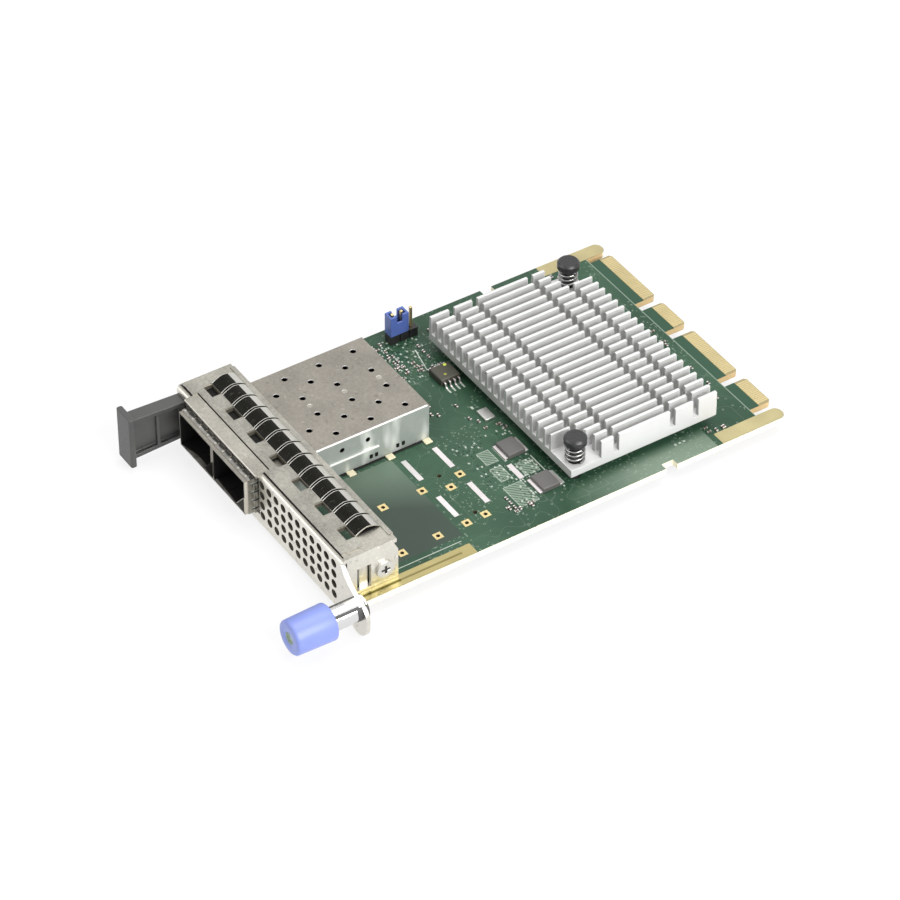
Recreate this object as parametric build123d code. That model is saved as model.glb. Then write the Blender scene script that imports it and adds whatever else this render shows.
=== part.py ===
from build123d import *
import math
import os

# Two-port mezzanine network card, 76 x 115 mm, in millimetres.
# Frame: origin at the middle of the board's front edge, on its top face.
# +X runs towards the thumbscrew, +Y towards the contact tongues, +Z up.

# Sides of small holes and hidden shanks, chords in one turn of a spring and sides of its wire
hole_sides = 8
coil_chords = 10
wire_sides = 4

# Board
board_w = 76.0
board_l = 115.0
board_t = 1.57
half_w = board_w / 2
tongue_l = 6.0
tongue_root_y = board_l - tongue_l
tongue_chamfer = 0.6
ear_w = 3.9
ear_tip_r = 1.8
notch_y = board_l - 34.0
notch_w = 3.2
notch_depth = 1.8
contact_pitch = 0.6
contact_w = 0.48
contact_l = 3.1
contact_setback = 0.12
contact_margin = 0.5
plating_t = 0.05
rail_w = 3.4
ear_rail_w = 3.8
rail_edge = 0.05
rail_front_l = 30.0
rail_rear_y = board_l - 18.0

# Rear edge between the ears: slot and tongue widths by turns, from the left
rear_edge_widths = [1.6, 18.6, 2.9, 9.4, 3.0, 17.6, 3.0, 9.8, 2.3]

# Faceplate, one folded sheet
sheet = 1.0
face_y = -3.4
face_bottom = -3.3
face_top = 11.4
face_left = -half_w + 2.8
face_right = half_w - 3.0
bend_r = 1.3
flange_y = 10.8
side_y = 11.2
side_gap = 0.5
side_foot = 0.1
side_chamfer = 1.6
visor_y = -4.4
visor_r = 0.4
visor_over_left = 1.5
visor_over_right = 1.0
groove_w = 0.25
groove_d = 0.35
groove_back_y = -0.7
vent_d = 2.1
vent_pitch = 3.0
vent_z0 = -0.2
window_y = 0.6
window_z = 0.8
window_w = 3.6
window_h = 6.4
side_screw_y = 7.6
side_screw_z = 4.2

# Thumbscrew and its ear
screw_x = face_right + 6.3
screw_z = 2.8
ear_r = 3.8
ear_drop = 3.3
ear_shoulder = 2.0
ear_sweep_z = face_top - 1.0
sweep_foot_dx = 0.5
sweep_foot_dz = 2.2
sweep_round = 0.8
sweep_mid_dx = 2.6
sweep_mid_dz = 2.1
barrel_d = 5.6
barrel_l = 7.0
neck_d = 4.8
neck_bore_d = 3.7
lip_t = 0.6
web_t = 0.8
web_y = face_y - 4.0
shank_d = 2.5
running_gap = 0.05
spring_bore_d = 4.6
thread_d = 3.0
thread_l = 4.4
tip_y = face_y + 1.3
ring_t = 0.45
ring_d = 3.5
ring_groove_d = 2.0
knob_d = 8.8
knob_l = 10.2
knob_gap = 0.1
knob_bore_d = 5.8
knob_bore_l = 5.6
knob_seat_l = 2.4
knob_taper = 0.15
knob_edge_r = 0.5
knob_dimple_d = 2.6
knob_dimple_l = 0.7
spring_wire = 0.5
spring_turns = 5

# Spring gasket over the top flange
gasket_t = 0.2
gasket_left = face_left + 1.3
gasket_right = face_right - 1.8
finger_pitch = 4.74
finger_slot = 0.5
finger_x0 = gasket_left + 4.7
finger_front_y = 3.6
finger_crest_y = 6.5
finger_rear_y = 9.9
finger_rise = 1.35
gasket_window_y = 1.2
gasket_window_w = 4.3
gasket_lip = 1.6

# Transceiver cage
cage_w = 28.5
cage_left = face_left + 6.6
cage_right = cage_left + cage_w
cage_front = -6.7
cage_rear = 42.0
cage_lift = 0.15
cage_top = face_top - 1.6
cage_sheet = 0.3
cage_gap = 0.75
divider_w = 1.2
cage_floor_y = 27.0
lug_reach = 2.0
lug_tip_z = 4.7
lug_low = 0.6
lug_high = 5.2
latch_w = 3.2
latch_y = 1.2
latch_l = 2.4
cage_hole_d = 1.5
cage_hole_side = 3.95
cage_hole_y0 = 14.6
cage_hole_pitch = 4.6
cage_hole_rows = 6
dimple_d = 1.4
dimple_depth = 0.12
pin_rows_y = [12.0, 21.0, 30.0, 39.0]
pin_w = 0.7
pin_hole_d = 1.05
wall_hole_d = 1.3
wall_holes = [(18.8, 7.1), (25.6, 7.1)]
band_y = -5.9
band_l = 3.2
band_t = 0.15
band_bulge = 0.35
band_pitch = 2.4
band_slot = 0.5
socket_w = 11.4
socket_l = 11.0
socket_h = 7.0
socket_slot_h = 1.4
socket_slot_d = 5.0

# Faceplate parts that follow the cage
visor_left = cage_left - visor_over_left
visor_right = cage_right + visor_over_right
vent_x0 = cage_right + 2.0

# Pull tab
tab_x = face_left + 1.9
tab_arm_w = 3.6
tab_end_y = -18.6
tab_end_t = 1.5
tab_end_w = 6.1
tab_end_h = 14.0
tab_z = 4.1
tab_root_h = 10.2
tab_tip_h = 11.5
tab_web_t = 1.4
tab_rib_t = 0.9
tab_rib_y = -10.4
tab_flange_t = 1.1
tab_foot_y = 3.4
tab_clear = 0.1
tab_screw_y = 1.4

# Heatsink
sink_left = -half_w + 10.8
sink_right = half_w - 6.7
sink_front = 59.5
sink_rear = board_l - 15.3
sink_bottom = 2.5
sink_base_t = 2.1
sink_top = 9.3
fin_count = 23
fin_root_t = 1.1
fin_tip_t = 0.8
cut_w = 1.45
cut_shares = [0.146, 0.306, 0.694, 0.854]
pin_inset = 3.0
pocket_r = 5.2
sink_hole_d = 3.4
pin_hole_board_d = 3.1

# Push pins
head_d = 5.4
head_t = 1.9
head_top = sink_top + 2.3
head_chamfer = 0.5
collar_d = 3.9
collar_t = 0.8
pin_shaft_d = 2.7
barb_d = 3.5
barb_drop = 1.9
barb_slot = 0.7
pin_spring_wire = 0.55
pin_spring_d = 4.2
pin_spring_turns = 4

# Controller under the heatsink
chip_w = 23.0
chip_t = 1.2
lid_w = 15.0
pad_t = 0.25

# Header with jumper
header_x = -half_w + 4.5
header_y = 53.4
header_pitch = 2.54
header_w = 2.5
header_h = 2.5
header_pins = 3
post_w = 0.64
post_top = 8.2
post_tail = 1.4
cap_w = 2.8
cap_h = 5.6
cap_wall = 0.55
cap_notch_w = 1.5
cap_notch_d = 2.0

# Memory chip
flash_x = -half_w + 21.9
flash_y = 56.7
flash_w = 5.2
flash_t = 1.7
flash_lift = 0.15
flash_chamfer = 0.25
lead_count = 4
lead_pitch = 1.27
lead_w = 0.42
lead_t = 0.2
lead_reach = 1.6
lead_slant = 0.2

# Power inductors
choke_centres = [(half_w - 24.6, 55.2), (half_w - 10.9, 55.4)]
choke_w = 5.4
choke_l = 4.6
choke_t = 1.3
choke_chamfer = 0.2
terminal_w = 5.2
terminal_l = 0.9
terminal_t = 0.5

# Oscillator can
can_x = flash_x + 16.8
can_y = 57.0
can_w = 4.0
can_l = 2.7
can_t = 0.8

# Bare pads and holes, by distance from the right edge and from the front one
bar_pad_w = 7.7
bar_pad_l = 1.3
bar_pads = [(half_w - d, y) for d, y in ((30.6, 32.6), (30.6, 41.0), (16.2, 32.7), (16.4, 41.1))]
square_pad_w = 2.0
square_pads = [(half_w - d, y) for d, y in ((23.7, 20.4), (23.6, 30.7), (23.8, 41.0), (9.2, 25.6),
                                            (9.3, 33.3), (9.5, 38.4), (8.8, 15.9), (21.2, 36.9))]
plain_holes = [(half_w - d, y) for d, y in ((25.8, 36.7), (11.3, 36.8))]
pad_t_copper = 0.05
footprint_hole_d = 1.0

# Chip capacitors: each row starts at (x, y) and takes count steps along X
chip_l = 1.0
chip_w_small = 0.55
chip_t_small = 0.5
chip_end = 0.25
chip_rows = [(-half_w + 8.8, 46.2, 2.1, 5), (-half_w + 9.6, 50.4, 2.1, 4), (-half_w + 9.6, 57.4, 2.2, 3),
             (half_w - 11.0, 45.0, 1.7, 3), (-half_w + 20.0, board_l - 12.6, 5.2, 8)]

# Side screws and corner blocks
side_screw_d = 2.5
side_head_d = 4.4
side_head_t = 0.7
side_recess_w = 0.6
side_recess_l = 2.2
block_w = 4.6
block_l = 6.0
block_h = 7.6
screw_reach = 3.6


def block(x0, x1, y0, y1, z0, z1):
    """Box between two corners."""
    return Pos((x0 + x1) / 2, (y0 + y1) / 2, (z0 + z1) / 2) * Box(x1 - x0, y1 - y0, z1 - z0)


def rod_y(x, z, y0, y1, r):
    """Cylinder along Y."""
    return Pos(x, (y0 + y1) / 2, z) * Rot(90, 0, 0) * Cylinder(r, y1 - y0)


def rod_x(y, z, x0, x1, r):
    """Cylinder along X."""
    return Pos((x0 + x1) / 2, y, z) * Rot(0, 90, 0) * Cylinder(r, x1 - x0)


def rod_z(x, y, z0, z1, r):
    """Cylinder along Z."""
    return Pos(x, y, (z0 + z1) / 2) * Cylinder(r, z1 - z0)


def punch_y(x, z, y0, y1, r):
    """Small repeated hole along Y, drawn with few sides."""
    return Pos(x, y1, z) * Rot(90, 0, 0) * extrude(RegularPolygon(r, hole_sides), amount=y1 - y0)


def punch_z(x, y, z0, z1, r):
    """Small repeated hole along Z, drawn with few sides."""
    return Pos(x, y, z0) * extrude(RegularPolygon(r, hole_sides), amount=z1 - z0)


def punch_x(y, z, x0, x1, r):
    """Small repeated hole along X, drawn with few sides."""
    return Pos(x0, y, z) * Rot(0, 90, 0) * extrude(RegularPolygon(r, hole_sides), amount=x1 - x0)


def prism_x(curve, x0, x1):
    """Closed Y-Z outline drawn out along X."""
    return extrude(Plane.YZ.offset(x0) * make_face(curve), amount=x1 - x0)


def prism_y(curve, y0, y1):
    """Closed X-Z outline drawn out along Y."""
    return extrude(Plane.XZ.offset(-y1) * make_face(curve), amount=y1 - y0)


def prism_z(curve, z0, z1):
    """Closed X-Y outline drawn out along Z."""
    return extrude(Plane.XY.offset(z0) * make_face(curve), amount=z1 - z0)


def save(name, shape):
    """Write one node; a list becomes a group of separate solids."""
    if isinstance(shape, (list, tuple)):
        shape = Compound(children=list(shape))
    export_step(shape, "parts/" + name + ".step")


cage_mid = (cage_left + cage_right) / 2
cage_walls = [cage_left + cage_sheet / 2, cage_right - cage_sheet / 2]
push_pins = [(sink_right - pin_inset, sink_front + pin_inset),
             (sink_left + pin_inset, sink_rear - pin_inset)]
header_posts = [(header_x, header_y + i * header_pitch) for i in range(header_pins)]


def tongue_spans():
    """Left and right edge of each tongue, fitted between the ears."""
    scale = 2 * (half_w - ear_w) / sum(rear_edge_widths)
    spans = []
    x = -half_w + ear_w
    for i, width in enumerate(rear_edge_widths):
        if i % 2:
            spans.append((x, x + width * scale))
        x += width * scale
    return spans


def tongue_outline(span):
    """Contact tongue with chamfered leading corners."""
    x0, x1 = span
    c = tongue_chamfer
    return Polyline((x0, tongue_root_y - 1), (x0, board_l - c), (x0 + c, board_l), (x1 - c, board_l),
                    (x1, board_l - c), (x1, tongue_root_y - 1), close=True)


def circuit_board():
    """Board with tongues, side ears, notches and every drilled hole."""
    plate = block(-half_w, half_w, 0, tongue_root_y, -board_t, 0)
    for span in tongue_spans():
        plate += prism_z(tongue_outline(span), -board_t, 0)
    for side in (-1, 1):
        inner, outer = side * (half_w - ear_w), side * half_w
        ear = block(min(inner, outer), max(inner, outer), tongue_root_y - 1, board_l, -board_t, 0)
        tips = ear.edges().filter_by(Axis.Z).sort_by(Axis.Y)[-2:]
        plate += fillet(tips, ear_tip_r)
        x0, x1 = sorted((side * half_w, side * (half_w - notch_depth)))
        plate -= block(x0, x1, notch_y, notch_y + notch_w, -board_t, 0)
    holes = [(x, y, footprint_hole_d) for x, y in square_pads + plain_holes + header_posts]
    holes += [(x, y, pin_hole_d) for x in cage_walls for y in pin_rows_y]
    plate -= [punch_z(x, y, -board_t, 0, d / 2) for x, y, d in holes]
    return plate - [punch_z(x, y, -board_t, 0, pin_hole_board_d / 2) for x, y in push_pins]


def edge_contacts():
    """Contact fingers at the tongues' tips, on both faces of the board."""
    fingers = []
    for left, right in tongue_spans():
        count = int((right - left - 2 * contact_margin) / contact_pitch)
        for i in range(count):
            x = (left + right) / 2 + (i - (count - 1) / 2) * contact_pitch
            y1 = board_l - contact_setback
            for z0 in (0, -board_t - plating_t):
                fingers.append(block(x - contact_w / 2, x + contact_w / 2, y1 - contact_l, y1,
                                     z0, z0 + plating_t))
    return fingers


def guide_rails():
    """Gold plated strips on which the card slides: plain in front, out to the ears' round tips behind."""
    strips = []
    for side in (-1, 1):
        edge = side * (half_w - rail_edge)
        x0, x1 = sorted((edge, edge - side * rail_w))
        x2, x3 = sorted((edge, edge - side * ear_rail_w))
        for z0 in (0, -board_t - plating_t):
            strips.append(block(x0, x1, rail_edge, rail_edge + rail_front_l, z0, z0 + plating_t))
            rear = block(x2, x3, rail_rear_y, board_l - rail_edge, z0, z0 + plating_t)
            strips.append(fillet(rear.edges().filter_by(Axis.Z).sort_by(Axis.Y)[-2:], ear_tip_r - rail_edge))
    return strips


def ear_outline():
    """Thumbscrew ear: concave sweep down from the plate's corner to a round end."""
    cx, cz = screw_x, screw_z - ear_drop
    right = cx + ear_r
    shoulder_z = screw_z - ear_drop + ear_shoulder
    sweep_foot = (screw_x + sweep_foot_dx, screw_z + sweep_foot_dz)
    sweep_mid = (face_right + sweep_mid_dx, sweep_foot[1] + sweep_mid_dz)
    dx = math.sqrt(ear_r ** 2 - (cz - face_bottom) ** 2)
    return [
        Line((face_right - 2 * sheet, face_bottom), (cx - dx, face_bottom)),
        ThreePointArc((cx - dx, face_bottom), (cx, cz - ear_r), (right, cz)),
        Line((right, cz), (right, shoulder_z)),
        ThreePointArc((right, shoulder_z), (right - sweep_round, shoulder_z + sweep_foot_dz), sweep_foot),
        ThreePointArc(sweep_foot, sweep_mid, (face_right, ear_sweep_z)),
        Line((face_right, ear_sweep_z), (face_right - 2 * sheet, ear_sweep_z)),
        Line((face_right - 2 * sheet, ear_sweep_z), (face_right - 2 * sheet, face_bottom)),
    ]


def folded_profile(front, rear, bottom):
    """Y-Z outline of the sheet bent back at its top edge."""
    r_in = bend_r - sheet
    s = math.sqrt(0.5)
    y_c, z_c = front + bend_r, face_top - bend_r
    inner_low = (front + sheet, z_c)
    inner_back = (y_c, face_top - sheet)
    return [
        Line((front, bottom), (front, z_c)),
        ThreePointArc((front, z_c), (y_c - bend_r * s, z_c + bend_r * s), (y_c, face_top)),
        Line((y_c, face_top), (rear, face_top)),
        Line((rear, face_top), (rear, face_top - sheet)),
        Line((rear, face_top - sheet), inner_back),
        ThreePointArc(inner_back, (y_c - r_in * s, z_c + r_in * s), inner_low),
        Line(inner_low, (front + sheet, bottom)),
        Line((front + sheet, bottom), (front, bottom)),
    ]


def side_flange(outer, inner):
    """Flange folded down from the top flange, standing on the board."""
    y0, y1 = face_y + sheet + side_gap, side_y
    c = side_chamfer
    outline = Polyline((y0, side_foot), (y1, side_foot), (y1, face_top - 2 * c), (y1 - c, face_top),
                       (y0, face_top), close=True)
    return prism_x(outline, min(outer, inner), max(outer, inner))


def faceplate():
    """Folded sheet: vented face, cage opening, top and side flanges, thumbscrew ear."""
    plate = prism_x(folded_profile(face_y, flange_y, face_bottom), face_left, face_right)
    plate += prism_y(ear_outline(), face_y, face_y + sheet)
    plate += side_flange(face_right, face_right - sheet)
    plate += side_flange(face_left, face_left + sheet)
    plate -= block(cage_left - cage_gap, cage_right + cage_gap, visor_y - 1, face_y + sheet + bend_r,
                   -cage_gap, face_top - sheet)
    visor = block(visor_left, visor_right, visor_y, groove_back_y, face_top - sheet, face_top)
    plate += fillet(visor.edges().filter_by(Axis.X).sort_by(Axis.Y)[:2], visor_r)
    plate -= block(face_left, visor_left, face_y + sheet, face_y + sheet + groove_w,
                   face_top - groove_d, face_top)
    plate -= block(visor_right, face_right - sheet, face_y + sheet, face_y + sheet + groove_w,
                   face_top - groove_d, face_top)
    plate -= block(visor_left, visor_right, groove_back_y - groove_w, groove_back_y,
                   face_top - groove_d, face_top)
    vent_cols = int((face_right - sheet - vent_d / 2 - vent_x0) / vent_pitch) + 1
    vent_rows = int((face_top - bend_r - vent_d / 2 - vent_z0) / vent_pitch) + 1
    plate -= [punch_y(vent_x0 + i * vent_pitch, vent_z0 + j * vent_pitch, face_y, face_y + sheet, vent_d / 2)
              for i in range(vent_cols) for j in range(vent_rows)]
    plate -= block(face_right - sheet, face_right, window_y, window_y + window_w,
                   window_z, window_z + window_h)
    plate -= punch_x(side_screw_y, side_screw_z, face_left, face_right, side_screw_d / 2 + running_gap)
    plate -= punch_x(tab_screw_y, side_screw_z, face_left, face_left + sheet, side_screw_d / 2 + running_gap)
    plate -= rod_y(screw_x, screw_z, face_y, face_y + sheet, neck_d / 2)
    arm_x0, arm_x1 = tab_x - tab_arm_w / 2, tab_x + tab_arm_w / 2
    z0, z1 = tab_z - tab_root_h / 2, tab_z + tab_root_h / 2
    plate -= block(arm_x0 - tab_clear, arm_x1 + tab_clear, face_y, face_y + sheet,
                   z0 - tab_clear, z1 + tab_clear)
    return plate


def arch_profile():
    """Y-Z outline of one spring finger: steep front, crest, longer fall to the rear strip."""
    z0 = face_top
    t = gasket_t
    crest = z0 + finger_rise
    front_mid = ((finger_front_y + finger_crest_y) / 2 - 0.15, z0 + finger_rise * 0.62)
    rear_mid = ((finger_crest_y + finger_rear_y) / 2 + 0.2, z0 + finger_rise * 0.66)
    return [
        ThreePointArc((finger_front_y, z0), front_mid, (finger_crest_y, crest)),
        ThreePointArc((finger_crest_y, crest), rear_mid, (finger_rear_y, z0)),
        Line((finger_rear_y, z0), (finger_rear_y, z0 + t)),
        ThreePointArc((finger_rear_y, z0 + t), (rear_mid[0], rear_mid[1] + t), (finger_crest_y, crest + t)),
        ThreePointArc((finger_crest_y, crest + t), (front_mid[0], front_mid[1] + t), (finger_front_y, z0 + t)),
        Line((finger_front_y, z0 + t), (finger_front_y, z0)),
    ]


def finger_count():
    """Fingers that fit along the strip."""
    return int((gasket_right - finger_x0) / finger_pitch + 0.5)


def emi_gasket():
    """Spring strip over the top flange, with windows in front and arched fingers behind."""
    z0, z1 = face_top, face_top + gasket_t
    front = face_y + sheet + groove_w
    strip = block(gasket_left, gasket_right, front, finger_front_y, z0, z1)
    strip -= block(visor_left, visor_right, front, groove_back_y, z0, z1)
    strip += block(gasket_left, gasket_right, finger_rear_y, flange_y + gasket_t, z0, z1)
    strip += block(gasket_left, gasket_right, flange_y, flange_y + gasket_t, z0 - gasket_lip, z1)
    for i in range(finger_count()):
        x = finger_x0 + i * finger_pitch
        half = (finger_pitch - finger_slot) / 2
        strip += prism_x(arch_profile(), x - half, x + half)
        if i % 2 == 0:
            strip -= block(x - gasket_window_w / 2, x + gasket_window_w / 2, gasket_window_y,
                           finger_front_y, z0, z1)
    return strip


def port_centre(side):
    """Middle of the left (-1) or right (1) port in X."""
    return cage_mid + side * (cage_right - cage_left) / 4


def cage_hole_places():
    """Vent holes in the cage roof: one in the middle, then two at the sides, by turns."""
    places = []
    for side in (-1, 1):
        x = port_centre(side)
        for row in range(cage_hole_rows):
            y = cage_hole_y0 + row * cage_hole_pitch
            if row % 2:
                places += [(x - cage_hole_side, y), (x + cage_hole_side, y)]
            else:
                places.append((x, y))
    return places


def front_lug(x0, x1):
    """Three-cornered lug on a wall's front edge."""
    return prism_x(Polyline((cage_front, lug_low), (cage_front - lug_reach, lug_tip_z), (cage_front, lug_high),
                            close=True), x0, x1)


def transceiver_cage():
    """Folded cage shell, open in front, with press-fit pins and latch tabs."""
    z0 = cage_lift
    s = cage_sheet
    shell = block(cage_left, cage_right, cage_front, cage_rear, z0, cage_top)
    shell -= block(cage_left + s, cage_right - s, cage_front, cage_rear - s, z0 + s, cage_top - s)
    shell -= block(cage_left + s, cage_right - s, cage_floor_y, cage_rear - s, z0, z0 + s)
    shell -= [punch_z(x, y, cage_top - s, cage_top, cage_hole_d / 2) for x, y in cage_hole_places()]
    for x in cage_walls:
        for y in pin_rows_y:
            shell += block(x - s / 2, x + s / 2, y - pin_w / 2, y + pin_w / 2, -board_t - 0.6, z0 + s)
    for row in range(1, cage_hole_rows, 2):
        y = cage_hole_y0 + row * cage_hole_pitch
        shell -= punch_z(cage_mid, y, cage_top - dimple_depth, cage_top, dimple_d / 2)
    for y, z in wall_holes:
        shell -= [punch_x(y, z, x - s, x + s, wall_hole_d / 2) for x in cage_walls]
    for side in (-1, 1):
        x = port_centre(side)
        y = cage_front + latch_y
        shell -= block(x - latch_w / 2, x + latch_w / 2, y, y + latch_l, z0, z0 + s)
    return shell + front_lug(cage_right - s, cage_right)


def cage_divider():
    """Wall between the two ports."""
    s = cage_sheet
    wall = block(cage_mid - divider_w / 2, cage_mid + divider_w / 2, cage_front, cage_rear - s,
                 cage_lift + s, cage_top - s)
    wall -= block(cage_mid - divider_w / 2 + s, cage_mid + divider_w / 2 - s, cage_front + s,
                  cage_rear - s, cage_lift + s, cage_top - 2 * s)
    return wall + front_lug(cage_mid - s / 2, cage_mid + s / 2)


def cage_spring_band():
    """Spring fingers round the mouth of the cage, bulged out against the faceplate opening."""
    s = band_t
    y0, y1 = band_y, band_y + band_l
    outer = block(cage_left - s, cage_right + s, y0, y1, cage_lift - s, cage_top + s)
    band = outer - block(cage_left, cage_right, y0, y1, cage_lift, cage_top)
    mid = (y0 + y1) / 2 + 0.4
    bead = block(cage_left - band_bulge, cage_right + band_bulge, mid - 0.5, mid + 0.5,
                 cage_lift - band_bulge, cage_top + band_bulge)
    band += bead - block(cage_left, cage_right, mid - 0.5, mid + 0.5, cage_lift, cage_top)
    count = int((cage_right - cage_left) / band_pitch)
    cuts = []
    for i in range(count):
        x = cage_left + (i + 0.5) * (cage_right - cage_left) / count
        cuts.append(block(x - band_slot / 2, x + band_slot / 2, y0 + 0.8, y1, cage_top, cage_top + 1))
        cuts.append(block(x - band_slot / 2, x + band_slot / 2, y0 + 0.8, y1, cage_lift - 1, cage_lift))
    rows = int((cage_top - cage_lift) / band_pitch)
    for i in range(rows):
        z = cage_lift + (i + 0.5) * (cage_top - cage_lift) / rows
        cuts.append(block(cage_left - 1, cage_left, y0 + 0.8, y1, z - band_slot / 2, z + band_slot / 2))
        cuts.append(block(cage_right, cage_right + 1, y0 + 0.8, y1, z - band_slot / 2, z + band_slot / 2))
    return band - cuts


def host_socket(side):
    """Edge socket at the back of one port, with its card slot."""
    x = port_centre(side)
    y1 = cage_rear - cage_sheet - 1.2
    y0 = y1 - socket_l
    body = block(x - socket_w / 2, x + socket_w / 2, y0, y1, 0, socket_h)
    z = socket_h * 0.55
    body -= block(x - socket_w * 0.4, x + socket_w * 0.4, y0, y0 + socket_slot_d,
                  z - socket_slot_h / 2, z + socket_slot_h / 2)
    return body


def pull_tab():
    """Moulded pull tab: ribbed channel arm with an end plate and a foot behind the faceplate."""
    y_end = tab_end_y + tab_end_t
    z_low = tab_z - tab_root_h / 2
    z_low_tip = tab_z - tab_tip_h / 2
    z_high = tab_z + tab_root_h / 2
    z_high_tip = tab_z + tab_tip_h / 2
    x0, x1 = tab_x - tab_arm_w / 2, tab_x + tab_arm_w / 2
    outline = Polyline((y_end, z_low_tip), (face_y, z_low), (face_y, z_high), (y_end, z_high_tip), close=True)
    arm = prism_x(outline, x0, x1)
    f = tab_flange_t
    pocket = Polyline((y_end, z_low_tip + f), (face_y - f, z_low + f), (face_y - f, z_high - f),
                      (y_end, z_high_tip - f), close=True)
    recess = (tab_arm_w - tab_web_t) / 2
    arm -= prism_x(pocket, x0, x0 + recess)
    arm -= prism_x(pocket, x1 - recess, x1)
    arm += block(x0 + 0.3, x1 - 0.3, tab_rib_y - tab_rib_t / 2, tab_rib_y + tab_rib_t / 2,
                 z_low + f / 2, z_high - f / 2)
    end = block(tab_x - tab_end_w / 2, tab_x + tab_end_w / 2, tab_end_y, y_end,
                tab_z - tab_end_h / 2, tab_z + tab_end_h / 2)
    end = fillet(end.edges().filter_by(Axis.Z), 0.5)
    arm += end
    arm += block(x0, x1, face_y, tab_foot_y, tab_clear, z_high)
    foot_x0 = face_left + sheet
    arm -= block(x0 - 1, foot_x0 + tab_clear / 2, face_y + sheet, tab_foot_y + 1, z_low - 1, z_high + 1)
    arm -= punch_x(tab_screw_y, side_screw_z, foot_x0, foot_x0 + screw_reach - sheet, side_screw_d / 2)
    return arm


def side_screw(y, outer, direction):
    """Pan-head cross-recess screw through a side flange."""
    head_x = outer + direction * side_head_t
    x0, x1 = sorted((outer, head_x))
    screw = rod_x(y, side_screw_z, x0, x1, side_head_d / 2)
    end = outer - direction * screw_reach
    a, b = sorted((outer, end))
    screw += punch_x(y, side_screw_z, a, b, side_screw_d / 2)
    depth = side_head_t * 0.6
    r0, r1 = sorted((head_x, head_x - direction * depth))
    w, l = side_recess_w / 2, side_recess_l / 2
    screw -= block(r0, r1, y - w, y + w, side_screw_z - l, side_screw_z + l)
    screw -= block(r0, r1, y - l, y + l, side_screw_z - w, side_screw_z + w)
    return screw


def corner_block(inner, direction):
    """Threaded block soldered to the board inside a side flange."""
    x0, x1 = sorted((inner, inner - direction * block_w))
    body = block(x0, x1, side_screw_y - block_l / 2, side_screw_y + block_l / 2, 0, block_h)
    end = inner - direction * (screw_reach - sheet)
    a, b = sorted((inner, end))
    return body - punch_x(side_screw_y, side_screw_z, a, b, side_screw_d / 2)


def thumbscrew_barrel():
    """Ferrule clinched in the ear, with a web that guides the shank."""
    front = face_y - barrel_l
    rear = face_y + sheet + lip_t
    body = rod_y(screw_x, screw_z, front, face_y, barrel_d / 2)
    body += rod_y(screw_x, screw_z, face_y, face_y + sheet, neck_d / 2)
    body += rod_y(screw_x, screw_z, face_y + sheet, rear, barrel_d / 2)
    body -= rod_y(screw_x, screw_z, web_y, rear, neck_bore_d / 2)
    body -= rod_y(screw_x, screw_z, web_y - web_t, web_y, shank_d / 2 + running_gap)
    body -= rod_y(screw_x, screw_z, front, web_y - web_t, spring_bore_d / 2)
    return body


def thumbscrew_knob():
    """Moulded knob with a skirt that slides over the ferrule."""
    rear = face_y - barrel_l - knob_gap
    front = rear - knob_l
    body = Pos(screw_x, (rear + front) / 2, screw_z) * Rot(-90, 0, 0) * Cone(
        knob_d / 2 - knob_taper, knob_d / 2, knob_l)
    body = chamfer(body.edges().sort_by(Axis.Y)[0], knob_edge_r)
    body -= rod_y(screw_x, screw_z, rear - knob_bore_l, rear, knob_bore_d / 2)
    body -= rod_y(screw_x, screw_z, rear - knob_bore_l - knob_seat_l, rear - knob_bore_l, shank_d / 2)
    body -= rod_y(screw_x, screw_z, front, front + knob_dimple_l, knob_dimple_d / 2)
    return body


def thumbscrew_shank():
    """Shank with a ring groove and a threaded end."""
    rear = face_y - barrel_l - knob_gap
    start = rear - knob_bore_l - knob_seat_l
    thread_start = tip_y - thread_l
    body = rod_y(screw_x, screw_z, start, thread_start, shank_d / 2)
    body += rod_y(screw_x, screw_z, thread_start, tip_y, thread_d / 2)
    groove = rod_y(screw_x, screw_z, web_y + running_gap, web_y + running_gap + ring_t + 0.1, shank_d)
    groove -= rod_y(screw_x, screw_z, web_y, web_y + 1, ring_groove_d / 2)
    body -= groove
    tip = body.edges().sort_by(Axis.Y)[-1]
    return chamfer(tip, 0.35)


def stop_ring():
    """Retaining ring that keeps the screw captive behind the web."""
    y0 = web_y + running_gap + 0.05
    ring = rod_y(screw_x, screw_z, y0, y0 + ring_t - 0.02, ring_d / 2)
    ring -= rod_y(screw_x, screw_z, y0, y0 + ring_t, ring_groove_d / 2 + running_gap)
    return ring


def coil(height, turns, diameter, wire):
    """Compression spring standing on Z = 0, in chords round each turn."""
    count = turns * coil_chords
    r = diameter / 2
    points = []
    for i in range(count + 1):
        a = 2 * math.pi * i / coil_chords
        points.append((r * math.cos(a), r * math.sin(a), wire / 2 + (height - wire) * i / count))
    path = Polyline(*points)
    section = Plane(origin=path @ 0, z_dir=path % 0) * RegularPolygon(wire / 2, wire_sides)
    return sweep(section, path=path, transition=Transition.RIGHT)


def thumbscrew_spring():
    """Return spring between the web and the knob."""
    y0 = web_y - web_t
    y1 = face_y - barrel_l - knob_gap - knob_bore_l
    length = y0 - y1 - 2 * running_gap
    spring = coil(length, spring_turns, (spring_bore_d + shank_d) / 2 - 0.1, spring_wire)
    return Pos(screw_x, y0 - running_gap, screw_z) * Rot(90, 0, 0) * spring


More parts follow.
